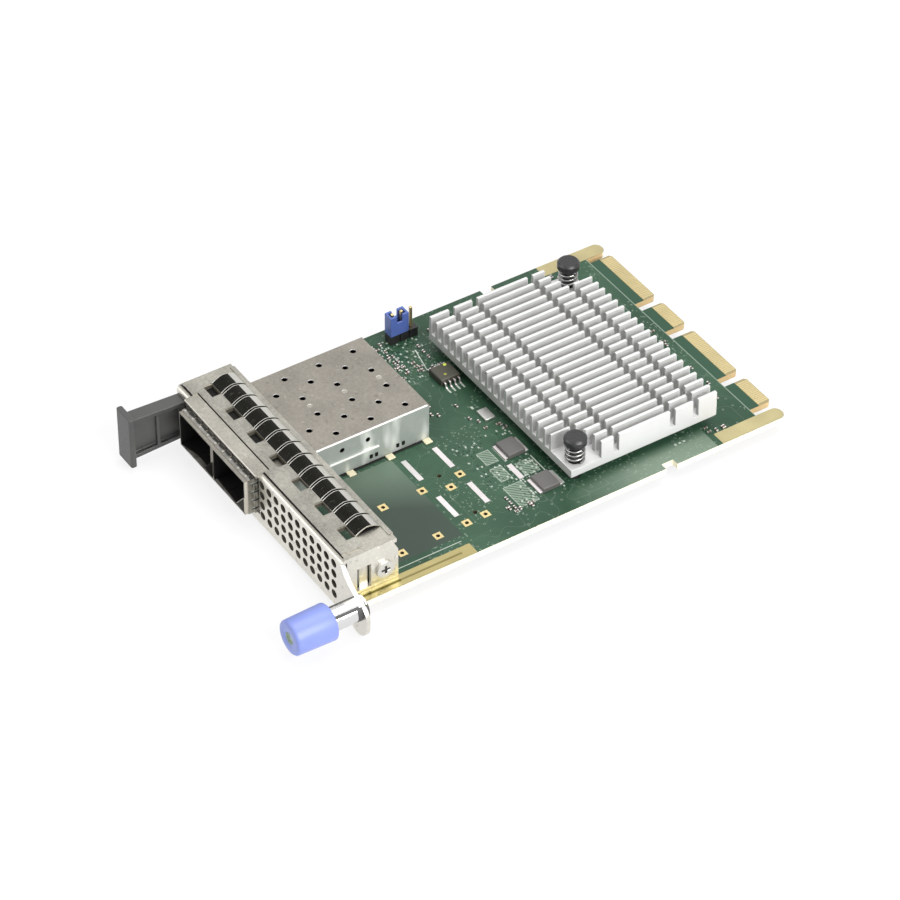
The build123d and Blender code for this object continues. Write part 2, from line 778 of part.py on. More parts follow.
def heatsink():
    """Cross-cut fin block with two milled corner pockets."""
    base_top = sink_bottom + sink_base_t
    cx, cy = (sink_left + sink_right) / 2, (sink_front + sink_rear) / 2
    sink_l = sink_rear - sink_front
    body = block(sink_left, sink_right, sink_front, sink_rear, sink_bottom, base_top)
    pitch = (sink_right - sink_left - fin_root_t) / (fin_count - 1)
    fins = []
    for i in range(fin_count):
        x = sink_left + fin_root_t / 2 + i * pitch
        r, t = fin_root_t / 2, fin_tip_t / 2
        outline = Polyline((x - r, base_top), (x + r, base_top), (x + t, sink_top), (x - t, sink_top),
                           close=True)
        fins.append(prism_y(outline, sink_front, sink_rear))
    cuts = [block(sink_left, sink_right, sink_front + share * sink_l - cut_w / 2,
                  sink_front + share * sink_l + cut_w / 2, base_top, sink_top) for share in cut_shares]
    for x, y in push_pins:
        edge_x = sink_right if x > cx else sink_left
        edge_y = sink_rear if y > cy else sink_front
        x0, x1 = sorted((edge_x, x - math.copysign(pocket_r, x - cx)))
        y0, y1 = sorted((edge_y, y))
        cuts.append(block(x0, x1, y0, y1, base_top, sink_top))
        x0, x1 = sorted((edge_x, x))
        y0, y1 = sorted((edge_y, y - math.copysign(pocket_r, y - cy)))
        cuts.append(block(x0, x1, y0, y1, base_top, sink_top))
        cuts.append(rod_z(x, y, base_top, sink_top, pocket_r))
    fin_field = Compound(children=fins) - cuts
    body = body + fin_field.solids()
    return body - [punch_z(x, y, sink_bottom, base_top, sink_hole_d / 2) for x, y in push_pins]


def push_pin(x, y):
    """Plastic push pin with a domed head, a collar and split barbs under the board."""
    neck_z = head_top - head_t
    tip = -board_t - barb_drop
    head = rod_z(x, y, neck_z, head_top, head_d / 2)
    head = chamfer(head.edges().sort_by(Axis.Z)[-1], head_chamfer)
    pin = head + rod_z(x, y, neck_z - collar_t, neck_z, collar_d / 2)
    pin += punch_z(x, y, -board_t - 0.05, neck_z, pin_shaft_d / 2)
    pin += Pos(x, y, (tip - board_t - 0.05) / 2) * Cone(pin_shaft_d / 2 - 0.4, barb_d / 2, -board_t - 0.05 - tip)
    return pin - block(x - barb_slot / 2, x + barb_slot / 2, y - barb_d, y + barb_d, tip, -board_t)


def push_pin_spring(x, y):
    """Spring between the heatsink base and the pin's collar."""
    z0 = sink_bottom + sink_base_t + 0.05
    z1 = head_top - head_t - collar_t - 0.05
    return Pos(x, y, z0) * coil(z1 - z0, pin_spring_turns, pin_spring_d, pin_spring_wire)


def controller_chip():
    """Ball-grid package with a smaller lid, under the heatsink."""
    cx, cy = (sink_left + sink_right) / 2, (sink_front + sink_rear) / 2
    lid_top = sink_bottom - pad_t
    body = block(cx - chip_w / 2, cx + chip_w / 2, cy - chip_w / 2, cy + chip_w / 2, 0, chip_t)
    return body + block(cx - lid_w / 2, cx + lid_w / 2, cy - lid_w / 2, cy + lid_w / 2, chip_t, lid_top)


def thermal_pad():
    """Pad between the chip's lid and the heatsink."""
    cx, cy = (sink_left + sink_right) / 2, (sink_front + sink_rear) / 2
    return block(cx - lid_w / 2, cx + lid_w / 2, cy - lid_w / 2, cy + lid_w / 2, sink_bottom - pad_t, sink_bottom)


def header_base():
    """Moulded strip that holds the header's posts."""
    y0 = header_posts[0][1] - header_pitch / 2
    y1 = header_posts[-1][1] + header_pitch / 2
    body = block(header_x - header_w / 2, header_x + header_w / 2, y0, y1, 0, header_h)
    for i in range(1, header_pins):
        y = (header_posts[i - 1][1] + header_posts[i][1]) / 2
        for side in (-1, 1):
            x = header_x + side * header_w / 2
            body -= block(x - 0.35, x + 0.35, y - 0.35, y + 0.35, 0, header_h)
    h = post_w / 2
    return body - [block(x - h, x + h, y - h, y + h, 0, header_h) for x, y in header_posts]


def header_pin_set():
    """Square posts through the base and the board."""
    h = post_w / 2
    return [block(x - h, x + h, y - h, y + h, -board_t - post_tail, post_top) for x, y in header_posts]


def jumper_cap():
    """Open-topped shunt over the first two posts."""
    y0 = header_posts[0][1] - header_pitch / 2 + 0.05
    y1 = header_posts[1][1] + header_pitch / 2 - 0.05
    z0 = header_h
    z1 = z0 + cap_h
    x0, x1 = header_x - cap_w / 2, header_x + cap_w / 2
    body = block(x0, x1, y0, y1, z0, z1)
    body -= block(x0 + cap_wall, x1 - cap_wall, y0 + cap_wall, y1 - cap_wall, z0, z1)
    mid = (y0 + y1) / 2
    return body - block(x0, x1, mid - cap_notch_w / 2, mid + cap_notch_w / 2, z1 - cap_notch_d, z1)


def flash_body():
    """Moulded body of the eight-lead memory."""
    h = flash_w / 2
    body = block(flash_x - h, flash_x + h, flash_y - h, flash_y + h, flash_lift, flash_lift + flash_t)
    return chamfer(body.faces().sort_by(Axis.Z)[-1].edges(), flash_chamfer)


def flash_leads():
    """Gull-wing leads along both sides."""
    leads = []
    z_mid = flash_lift + flash_t / 2
    t = lead_t
    for side in (-1, 1):
        x0 = flash_x + side * flash_w / 2
        x1 = x0 + side * lead_reach * 0.4
        x2 = x0 + side * lead_reach
        outline = Polyline((x0, z_mid), (x1, z_mid), (x1 + side * lead_slant, 0), (x2, 0), (x2, t),
                           (x1 + side * (lead_slant + t * 0.8), t), (x1 + side * t, z_mid + t),
                           (x0, z_mid + t), close=True)
        for i in range(lead_count):
            y = flash_y + (i - (lead_count - 1) / 2) * lead_pitch
            leads.append(prism_y(outline, y - lead_w / 2, y + lead_w / 2))
    return leads


def choke_body(x, y):
    """Moulded power inductor."""
    body = block(x - choke_w / 2, x + choke_w / 2, y - choke_l / 2, y + choke_l / 2, 0, choke_t)
    return chamfer(body.faces().sort_by(Axis.Z)[-1].edges(), choke_chamfer)


def choke_terminals():
    """Tinned terminals along the front and rear of each inductor."""
    bars = []
    for x, y in choke_centres:
        for side in (-1, 1):
            y0, y1 = sorted((y + side * choke_l / 2, y + side * (choke_l / 2 + terminal_l)))
            bars.append(block(x - terminal_w / 2, x + terminal_w / 2, y0, y1, 0, terminal_t))
    return bars


def chip_places():
    """Centres of the small chip parts."""
    return [(x + i * step, y) for x, y, step, count in chip_rows for i in range(int(count))]


def chip_bodies():
    """Ceramic bodies of the small chip parts."""
    h = chip_l / 2 - chip_end
    w = chip_w_small / 2
    return [block(x - h, x + h, y - w, y + w, 0, chip_t_small) for x, y in chip_places()]


def chip_ends():
    """Tinned end caps of the small chip parts."""
    w = chip_w_small / 2
    ends = []
    for x, y in chip_places():
        for side in (-1, 1):
            x0, x1 = sorted((x + side * chip_l / 2, x + side * (chip_l / 2 - chip_end)))
            ends.append(block(x0, x1, y - w, y + w, 0, chip_t_small))
    return ends


def bar_pad_set():
    """Tinned bar pads of parts that are not fitted."""
    w, l = bar_pad_w / 2, bar_pad_l / 2
    pads = [block(x - w, x + w, y - l, y + l, 0, pad_t_copper) for x, y in bar_pads]
    x = (choke_centres[0][0] + choke_centres[1][0]) / 2
    y = choke_centres[0][1] - choke_l / 2 - terminal_l
    return pads + [block(x - choke_w / 2, x + choke_w / 2, y - l, y + l, 0, pad_t_copper)]


def square_pad_set():
    """Gold pads round the holes of the second, unfitted cage."""
    h = square_pad_w / 2
    return [block(x - h, x + h, y - h, y + h, 0, pad_t_copper) - punch_z(x, y, 0, pad_t_copper, footprint_hole_d / 2)
            for x, y in square_pads]


def main():
    os.makedirs("parts", exist_ok=True)
    save("circuit_board", circuit_board())
    save("edge_contacts", edge_contacts())
    save("guide_rails", guide_rails())
    save("faceplate", faceplate())
    save("emi_gasket", emi_gasket())
    save("transceiver_cage", transceiver_cage())
    save("cage_divider", cage_divider())
    save("cage_spring_band", cage_spring_band())
    save("host_socket_left", host_socket(-1))
    save("host_socket_right", host_socket(1))
    save("pull_tab", pull_tab())
    save("pull_tab_screw", side_screw(tab_screw_y, face_left, -1))
    save("side_screw_left", side_screw(side_screw_y, face_left, -1))
    save("side_screw_right", side_screw(side_screw_y, face_right, 1))
    save("corner_block_left", corner_block(face_left + sheet, -1))
    save("corner_block_right", corner_block(face_right - sheet, 1))
    save("thumbscrew_barrel", thumbscrew_barrel())
    save("thumbscrew_knob", thumbscrew_knob())
    save("thumbscrew_shank", thumbscrew_shank())
    save("thumbscrew_ring", stop_ring())
    save("thumbscrew_spring", thumbscrew_spring())
    save("heatsink", heatsink())
    for name, (x, y) in zip(("front", "rear"), push_pins):
        save("push_pin_" + name, push_pin(x, y))
        save("push_pin_spring_" + name, push_pin_spring(x, y))
    save("controller_chip", controller_chip())
    save("thermal_pad", thermal_pad())
    save("header_base", header_base())
    save("header_pins", header_pin_set())
    save("jumper_cap", jumper_cap())
    save("memory_chip", flash_body())
    save("memory_leads", flash_leads())
    for name, (x, y) in zip(("left", "right"), choke_centres):
        save("inductor_" + name, choke_body(x, y))
    save("inductor_terminals", choke_terminals())
    save("oscillator", block(can_x - can_w / 2, can_x + can_w / 2, can_y - can_l / 2, can_y + can_l / 2, 0, can_t))
    save("chip_parts", chip_bodies())
    save("chip_part_ends", chip_ends())
    save("bar_pads", bar_pad_set())
    save("square_pads", square_pad_set())


main()
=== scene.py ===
import bpy
import math
import random
from mathutils import Matrix, Vector


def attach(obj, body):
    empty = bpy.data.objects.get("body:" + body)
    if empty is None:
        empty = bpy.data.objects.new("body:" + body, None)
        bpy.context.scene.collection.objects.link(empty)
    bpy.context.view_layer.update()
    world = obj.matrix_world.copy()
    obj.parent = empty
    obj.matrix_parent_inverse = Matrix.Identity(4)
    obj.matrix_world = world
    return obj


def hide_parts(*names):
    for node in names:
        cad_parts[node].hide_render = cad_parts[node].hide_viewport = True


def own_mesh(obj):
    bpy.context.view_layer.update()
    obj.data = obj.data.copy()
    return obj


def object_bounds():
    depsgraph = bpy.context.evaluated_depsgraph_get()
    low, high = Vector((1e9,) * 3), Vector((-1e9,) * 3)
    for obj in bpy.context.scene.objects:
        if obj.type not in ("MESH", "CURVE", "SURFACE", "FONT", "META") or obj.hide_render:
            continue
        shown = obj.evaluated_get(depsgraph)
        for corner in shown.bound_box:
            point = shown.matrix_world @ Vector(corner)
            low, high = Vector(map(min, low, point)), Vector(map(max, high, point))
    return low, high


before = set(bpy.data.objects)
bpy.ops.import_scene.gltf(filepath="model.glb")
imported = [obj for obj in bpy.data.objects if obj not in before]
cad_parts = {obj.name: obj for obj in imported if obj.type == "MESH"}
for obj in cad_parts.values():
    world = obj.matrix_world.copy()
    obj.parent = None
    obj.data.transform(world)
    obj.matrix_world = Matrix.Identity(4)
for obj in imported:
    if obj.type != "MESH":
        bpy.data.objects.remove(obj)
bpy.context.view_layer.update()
mm = 0.001
print("frame loaded")


# Handling objects

def deselectAll():
    bpy.ops.object.select_all(action="DESELECT")


def pickOnly(piece):
    deselectAll()
    piece.select_set(True)
    bpy.context.view_layer.objects.active = piece


def editMode(mode):
    bpy.ops.object.mode_set(mode="EDIT")
    bpy.ops.mesh.select_mode(type=mode)


def objectMode():
    bpy.ops.object.mode_set(mode="OBJECT")


def settled(name):
    # the piece just added gets its name, and its placing goes into its mesh
    piece = bpy.context.object
    piece.name = name
    bpy.ops.object.transform_apply(location=True, rotation=True, scale=True)
    return piece


def addBlock(name, low, high):
    # low and high corners in millimetres
    deselectAll()
    middle = [(a + b) / 2 * mm for a, b in zip(low, high)]
    size = [(b - a) * mm for a, b in zip(low, high)]
    bpy.ops.mesh.primitive_cube_add(size=1, location=middle, scale=size)
    return settled(name)


def around(middle, half):
    return middle - half, middle + half


def addSpan(name, xSpan, ySpan, zSpan):
    # a block from its span on each axis, in millimetres
    return addBlock(name, *zip(xSpan, ySpan, zSpan))


turnFor = {"X": (0, math.pi / 2, 0), "Y": (-math.pi / 2, 0, 0), "Z": (0, 0, 0)}
axisOf = {"X": Vector((1, 0, 0)), "Y": Vector((0, 1, 0)), "Z": Vector((0, 0, 1))}


def addRod(name, centre, axis, length, radius, sides):
    # centre in millimetres, the rod's middle
    deselectAll()
    bpy.ops.mesh.primitive_cylinder_add(vertices=sides, radius=radius * mm, depth=length * mm,
                                        location=[c * mm for c in centre], rotation=turnFor[axis])
    return settled(name)


def addTurned(name, centre, axis, stations, sides):
    # a lathe piece: rings at (distance along the axis, radius), in millimetres, from the centre
    deselectAll()
    along = axisOf[axis]
    lastPlace, lastRadius = stations[0]
    first = Vector(centre) + along * lastPlace
    bpy.ops.mesh.primitive_circle_add(vertices=sides, radius=lastRadius * mm, location=first * mm,
                                      rotation=turnFor[axis])
    piece = settled(name)
    editMode("EDGE")
    bpy.ops.mesh.select_all(action="SELECT")
    bpy.ops.mesh.edge_face_add()
    bpy.ops.mesh.select_mode(type="FACE")
    bpy.ops.mesh.select_all(action="SELECT")
    for place, radius in stations[1:]:
        step = along * ((place - lastPlace) * mm)
        bpy.ops.mesh.extrude_region_move(TRANSFORM_OT_translate={"value": step})
        grow = radius / lastRadius
        scale = [1 if along[i] else grow for i in range(3)]
        here = (Vector(centre) + along * place) * mm
        bpy.ops.transform.resize(value=scale, center_override=here)
        lastPlace, lastRadius = place, radius
    bpy.ops.mesh.select_all(action="SELECT")
    bpy.ops.mesh.remove_doubles(threshold=1e-7)
    bpy.ops.mesh.normals_make_consistent(inside=False)
    objectMode()
    return piece


def addCoil(name, centre, axis, start, height, radius, wire, turns, steps=28, sides=10):
    # spring of round wire from start to start + height along the axis
    deselectAll()
    along = axisOf[axis]
    across = axisOf["X"]
    base = Vector(centre) + along * (start + wire)
    place = base + across * radius
    ringTurn = {"Y": (0, 0, 0), "Z": (math.pi / 2, 0, 0)}[axis]
    bpy.ops.mesh.primitive_circle_add(vertices=sides, radius=wire * mm, location=place * mm, rotation=ringTurn)
    piece = bpy.context.object
    piece.name = name
    bpy.ops.object.transform_apply(location=False, rotation=True, scale=True)
    piece.data.transform(Matrix.Translation(across * radius * mm))
    piece.location = base * mm
    screw = piece.modifiers.new("coil", "SCREW")
    screw.axis = axis
    screw.angle = 2 * math.pi
    screw.screw_offset = (height - 2 * wire) / turns * mm
    screw.iterations = turns
    screw.steps = steps
    screw.render_steps = steps
    pickOnly(piece)
    bpy.ops.object.modifier_apply(modifier="coil")
    bpy.ops.object.transform_apply(location=True, rotation=True, scale=True)
    editMode("EDGE")
    bpy.ops.mesh.select_all(action="SELECT")
    bpy.ops.mesh.fill_holes(sides=0)
    bpy.ops.mesh.select_all(action="SELECT")
    bpy.ops.mesh.normals_make_consistent(inside=False)
    objectMode()
    return piece


def joined(pieces, name):
    deselectAll()
    for piece in pieces:
        piece.select_set(True)
    bpy.context.view_layer.objects.active = pieces[0]
    if len(pieces) > 1:
        bpy.ops.object.join()
    whole = bpy.context.object
    whole.name = name
    return whole


def applyModifier(piece, kind, **settings):
    modifier = piece.modifiers.new(kind.lower(), kind)
    for key, value in settings.items():
        setattr(modifier, key, value)
    pickOnly(piece)
    bpy.ops.object.modifier_apply(modifier=modifier.name)


def bevelEdges(piece, width, segments, angle=35):
    applyModifier(piece, "BEVEL", width=width * mm, segments=segments, limit_method="ANGLE",
                  angle_limit=math.radians(angle), use_clamp_overlap=True)


def cutWith(piece, cutters):
    tool = joined(cutters, "cutTool")
    applyModifier(piece, "BOOLEAN", operation="DIFFERENCE", object=tool, solver="EXACT")
    bpy.data.objects.remove(tool)


def smoothByAngle(piece, angle=32):
    pickOnly(piece)
    bpy.ops.object.shade_smooth_by_angle(angle=math.radians(angle))


def evenNormals(piece):
    # flat faces keep flat shading beside their rounded edges
    smoothByAngle(piece)
    applyModifier(piece, "WEIGHTED_NORMAL", keep_sharp=True, weight=80)


# how far a face's normal turns to an axis to count as facing it, and the usual margin in millimetres
slight, half, mostly, fully = 0.3, 0.5, 0.7, 0.8
near = 0.1


def repaint(piece, finish, chosen):
    # a second finish on the faces that chosen(x, y, z, normal) picks, in millimetres
    piece.data.materials.append(finish.material)
    index = len(piece.data.materials) - 1
    for face in piece.data.polygons:
        x, y, z = face.center / mm
        if chosen(x, y, z, face.normal):
            face.material_index = index


def mergedCopy(node, name):
    # a copy of a CAD node with its loose triangles merged into clean faces
    piece = bpy.data.objects.new(name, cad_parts[node].data.copy())
    bpy.context.scene.collection.objects.link(piece)
    pickOnly(piece)
    editMode("VERT")
    bpy.ops.mesh.select_all(action="SELECT")
    bpy.ops.mesh.remove_doubles(threshold=2e-7)
    bpy.ops.mesh.select_all(action="SELECT")
    bpy.ops.mesh.dissolve_limited(angle_limit=math.radians(1.5))
    objectMode()
    return piece


def paint(piece, finish):
    piece.data.materials.clear()
    piece.data.materials.append(finish.material)


def seat(piece, body, nodes=()):
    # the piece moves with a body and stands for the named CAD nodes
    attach(piece, body)
    if nodes:
        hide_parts(*nodes)
    return piece


def carriedOver(node, name, finish, body, bevel, segments=2, angle=32, cutters=None):
    # a CAD node taken over as one piece, with its edges bevelled
    piece = mergedCopy(node, name)
    if cutters:
        cutWith(piece, cutters)
    if bevel:
        bevelEdges(piece, bevel, segments, angle)
    evenNormals(piece)
    paint(piece, finish)
    return seat(piece, body, [node])


def added(blocks, name, finish, bevel, segments=1, even=False):
    # new blocks joined into one piece of the card, with its edges bevelled
    piece = joined(blocks, name)
    bevelEdges(piece, bevel, segments)
    if even:
        evenNormals(piece)
    paint(piece, finish)
    return seat(piece, "card")


# Shader sums

class Wire:
    def __init__(self, finish, socket):
        self.finish = finish
        self.socket = socket

    def sum(self, operation, other, swapped=False):
        first, second = (other, self) if swapped else (self, other)
        return self.finish.node("ShaderNodeMath", {"operation": operation}, {0: first, 1: second})

    def alone(self, operation):
        return self.finish.node("ShaderNodeMath", {"operation": operation}, {0: self})

    def __add__(self, other): return self.sum("ADD", other)
    def __radd__(self, other): return self.sum("ADD", other, True)
    def __sub__(self, other): return self.sum("SUBTRACT", other)
    def __rsub__(self, other): return self.sum("SUBTRACT", other, True)
    def __mul__(self, other): return self.sum("MULTIPLY", other)
    def __rmul__(self, other): return self.sum("MULTIPLY", other, True)
    def __truediv__(self, other): return self.sum("DIVIDE", other)
    def __rtruediv__(self, other): return self.sum("DIVIDE", other, True)
    def __gt__(self, other): return self.sum("GREATER_THAN", other)
    def __lt__(self, other): return self.sum("LESS_THAN", other)
    def size(self): return self.alone("ABSOLUTE")
    def part(self): return self.alone("FRACT")
    def whole(self): return self.alone("FLOOR")
    def atMost(self, other): return self.sum("MINIMUM", other)


class Finish:
    def __init__(self, name, colour, roughness, metallic=0.0):
        self.material = bpy.data.materials.new(name)
        self.material.use_nodes = True
        self.tree = self.material.node_tree
        self.tree.nodes.clear()
        self.out = self.tree.nodes.new("ShaderNodeOutputMaterial")
        self.shader = self.tree.nodes.new("ShaderNodeBsdfPrincipled")
        self.tree.links.new(self.shader.outputs[0], self.out.inputs[0])
        self.set("Base Color", (*colour, 1))
        self.set("Roughness", roughness)
        self.set("Metallic", metallic)
        self.places = None

    def feed(self, socket, value):
        if isinstance(value, Wire):
            self.tree.links.new(value.socket, socket)
        else:
            socket.default_value = value

    def node(self, kind, settings, values, output=0):
        made = self.tree.nodes.new(kind)
        for key, value in settings.items():
            setattr(made, key, value)
        for key, value in values.items():
            self.feed(made.inputs[key], value)
        return Wire(self, made.outputs[output])

    def set(self, socket, value):
        self.feed(self.shader.inputs[socket], value)

    def coords(self, output="Object"):
        if self.places is None:
            self.places = self.tree.nodes.new("ShaderNodeTexCoord")
        return Wire(self, self.places.outputs[output])

    def split(self, source):
        parts = self.tree.nodes.new("ShaderNodeSeparateXYZ")
        self.feed(parts.inputs[0], source)
        return [Wire(self, socket) for socket in parts.outputs]

    def axes(self):
        # x, y, z in millimetres
        return [part * 1000 for part in self.split(self.coords())]

    def facing(self):
        return self.split(self.coords("Normal"))

    def cells(self, x, y, wide, deep, reach=0.32):
        # a number from 0 to 1 for each small rectangle of the plan, and 1 inside its margins
        u, v = x / wide, y / deep
        place = self.node("ShaderNodeCombineXYZ", {}, {0: u.whole(), 1: v.whole(), 2: 0.0})
        inside = ((u.part() - 0.5).size() < reach) * ((v.part() - 0.5).size() < reach)
        return self.node("ShaderNodeTexWhiteNoise", {"noise_dimensions": "3D"}, {"Vector": place}), inside

    def noise(self, scale, detail, rough=0.55, stretch=None):
        place = self.coords()
        if stretch:
            place = self.node("ShaderNodeMapping", {}, {"Vector": place, "Scale": stretch})
        return self.node("ShaderNodeTexNoise", {},
                         {"Vector": place, "Scale": scale, "Detail": detail, "Roughness": rough})

    def blend(self, factor, first, second):
        def asValue(v): return v if isinstance(v, Wire) else (*v, 1)
        return self.node("ShaderNodeMix", {"data_type": "RGBA"},
                         {0: factor, 6: asValue(first), 7: asValue(second)}, 2)

    def spread(self, source, low, high, newLow, newHigh):
        return self.node("ShaderNodeMapRange", {"clamp": True},
                         {"Value": source, "From Min": low, "From Max": high,
                          "To Min": newLow, "To Max": newHigh})

    def bump(self, height, strength, distance):
        self.set("Normal", self.node("ShaderNodeBump", {}, {"Height": height, "Strength": strength,
                                                            "Distance": distance * mm}))


def within(x, y, x0, x1, y0, y1):
    # 1 inside a rectangle of the plan, 0 outside
    return (x > x0) * (x < x1) * (y > y0) * (y < y1)


def toned(colour, by):
    return [min(1, c * by) for c in colour]


# Finishes

def makeSheet(name, colour, roughness, grain, spread=0.06):
    # rolled and plated sheet: fine directional grain and faint blotches
    finish = Finish(name, colour, roughness, 1.0)
    blotch = finish.noise(140, 3)
    lines = finish.noise(900, 2, stretch=grain)
    mottle = blotch * 0.5 + lines * 0.5
    finish.set("Base Color", finish.blend(mottle, toned(colour, 1 - spread), toned(colour, 1 + spread)))
    finish.set("Roughness", finish.spread(blotch, 0.3, 0.7, roughness - 0.05, roughness + 0.08))
    finish.bump(lines, 0.08, 0.02)
    return finish


def makeGrainedSheet(name, colour, roughness, spread=0.16):
    # galvanised sheet: uneven grain, faint clouds and small pale and dark flecks
    fleck = 0.7
    finish = Finish(name, colour, roughness, 1.0)
    grain = finish.noise(1500, 3, 0.7)
    clouds = finish.noise(110, 2)
    mottle = finish.spread(grain, 0.3, 0.7, 0, 0.7) + finish.spread(clouds, 0.35, 0.65, 0, 0.3)
    tone = finish.blend(mottle, toned(colour, 1 - spread), toned(colour, 1 + spread))
    tone = finish.blend((finish.noise(900, 1) > fleck) * 0.5, tone, toned(colour, 1.4))
    tone = finish.blend((finish.noise(700, 1, 0.4) < 1 - fleck) * 0.4, tone, toned(colour, 0.6))
    finish.set("Base Color", tone)
    finish.set("Roughness", finish.spread(clouds, 0.3, 0.7, roughness - 0.04, roughness + 0.1))
    finish.bump(grain, 0.15, 0.02)
    return finish


def makeSheetWithPaintedReflections(name, colour, pale, roughness, metallic):
    # bright sheet with painted reflections of its surroundings in pale upright blotches, duller and then
    # painted black shade at the mouth
    mouth = dict(dull=-5.6, black=-6.95, top=5.1, dullTone=(0.56, 0.53, 0.46), blackTone=(0.02, 0.019, 0.016))
    finish = Finish(name, colour, roughness, metallic)
    blotch = finish.noise(120, 2, stretch=(1, 1.6, 0.5))
    grain = finish.noise(900, 2)
    x, y, z = finish.axes()
    # the pale blotches are painted reflections
    tone = finish.blend(finish.spread(blotch, 0.52, 0.68, 0, 0.8) + grain * 0.12, colour, pale)
    tone = finish.blend(y < mouth["dull"], tone, mouth["dullTone"])
    # a plain duller tone near the mouth, and painted black shade on the part past it
    finish.set("Base Color", finish.blend((y < mouth["black"]) * (z < mouth["top"]), tone, mouth["blackTone"]))
    finish.bump(grain, 0.06, 0.02)
    return finish


def makeMouthShade():
    # roof band at the mouth: grey sheet with clouds of painted shade, a row of pale dots as painted highlights
    # and a jagged black line behind them as a painted shadow under the visor
    band = dict(pitch=3.3, dots=-5.35, dotWide=0.07, dotDeep=0.2, line=-5.0, jag=0.5, metal=(0.26, 0.25, 0.225),
                pale=(0.45, 0.43, 0.39), black=(0.01, 0.01, 0.008))
    finish = Finish("mouthShade", band["metal"], 0.4)
    x, y = finish.axes()[:2]
    across = ((x / band["pitch"]).part() - 0.5).size()
    cloud = finish.noise(500, 2)
    tone = finish.blend(finish.spread(cloud, 0.35, 0.65, 0, 0.5), band["metal"], band["black"])
    tone = finish.blend(y > band["line"] - across * band["jag"], tone, band["black"])
    dots = (across < band["dotWide"]) * ((y - band["dots"]).size() < band["dotDeep"])
    finish.set("Base Color", finish.blend(dots, tone, band["pale"]))
    return finish


def makeBarrelNickel():
    # turned barrel: a painted reflection as a dark streak along it, painted shade on its far side and a painted
    # shadow on its end at the ear
    barrel = dict(middle=41.3, streak=1.9, half=0.27, far=-1.0, ear=-4.8, past=0.8, earTop=4.9, rough=0.18,
                  darkRough=0.4, metal=(0.7, 0.7, 0.7), dark=(0.05, 0.05, 0.048))
    finish = Finish("barrelNickel", barrel["metal"], barrel["rough"], 1.0)
    x, y, z = finish.axes()
    side = x - barrel["middle"]
    streak = ((side - barrel["streak"]).size() < barrel["half"]) * (y < barrel["ear"] + barrel["past"])
    shaded = (y > barrel["ear"]) * (z < barrel["earTop"])
    dark = (streak + (side < barrel["far"]) + shaded).atMost(1)
    finish.set("Base Color", finish.blend(dark, barrel["metal"], barrel["dark"]))
    finish.set("Metallic", 1 - dark)
    finish.set("Roughness", dark * barrel["darkRough"] + barrel["rough"])
    return finish


def makePlasticOrShade(name, colour, roughness, spread=0.1):
    # moulded plastic, paint or ceramic, or flat painted shade: faint broad clouds under a fine grain
    finish = Finish(name, colour, roughness)
    fine = finish.noise(2600, 2)
    broad = finish.noise(120, 2)
    finish.set("Base Color", finish.blend(broad, toned(colour, 1 - spread), toned(colour, 1 + spread)))
    finish.set("Roughness", finish.spread(fine, 0.3, 0.7, roughness - 0.04, roughness + 0.06))
    finish.bump(fine, 0.25, 0.01)
    return finish


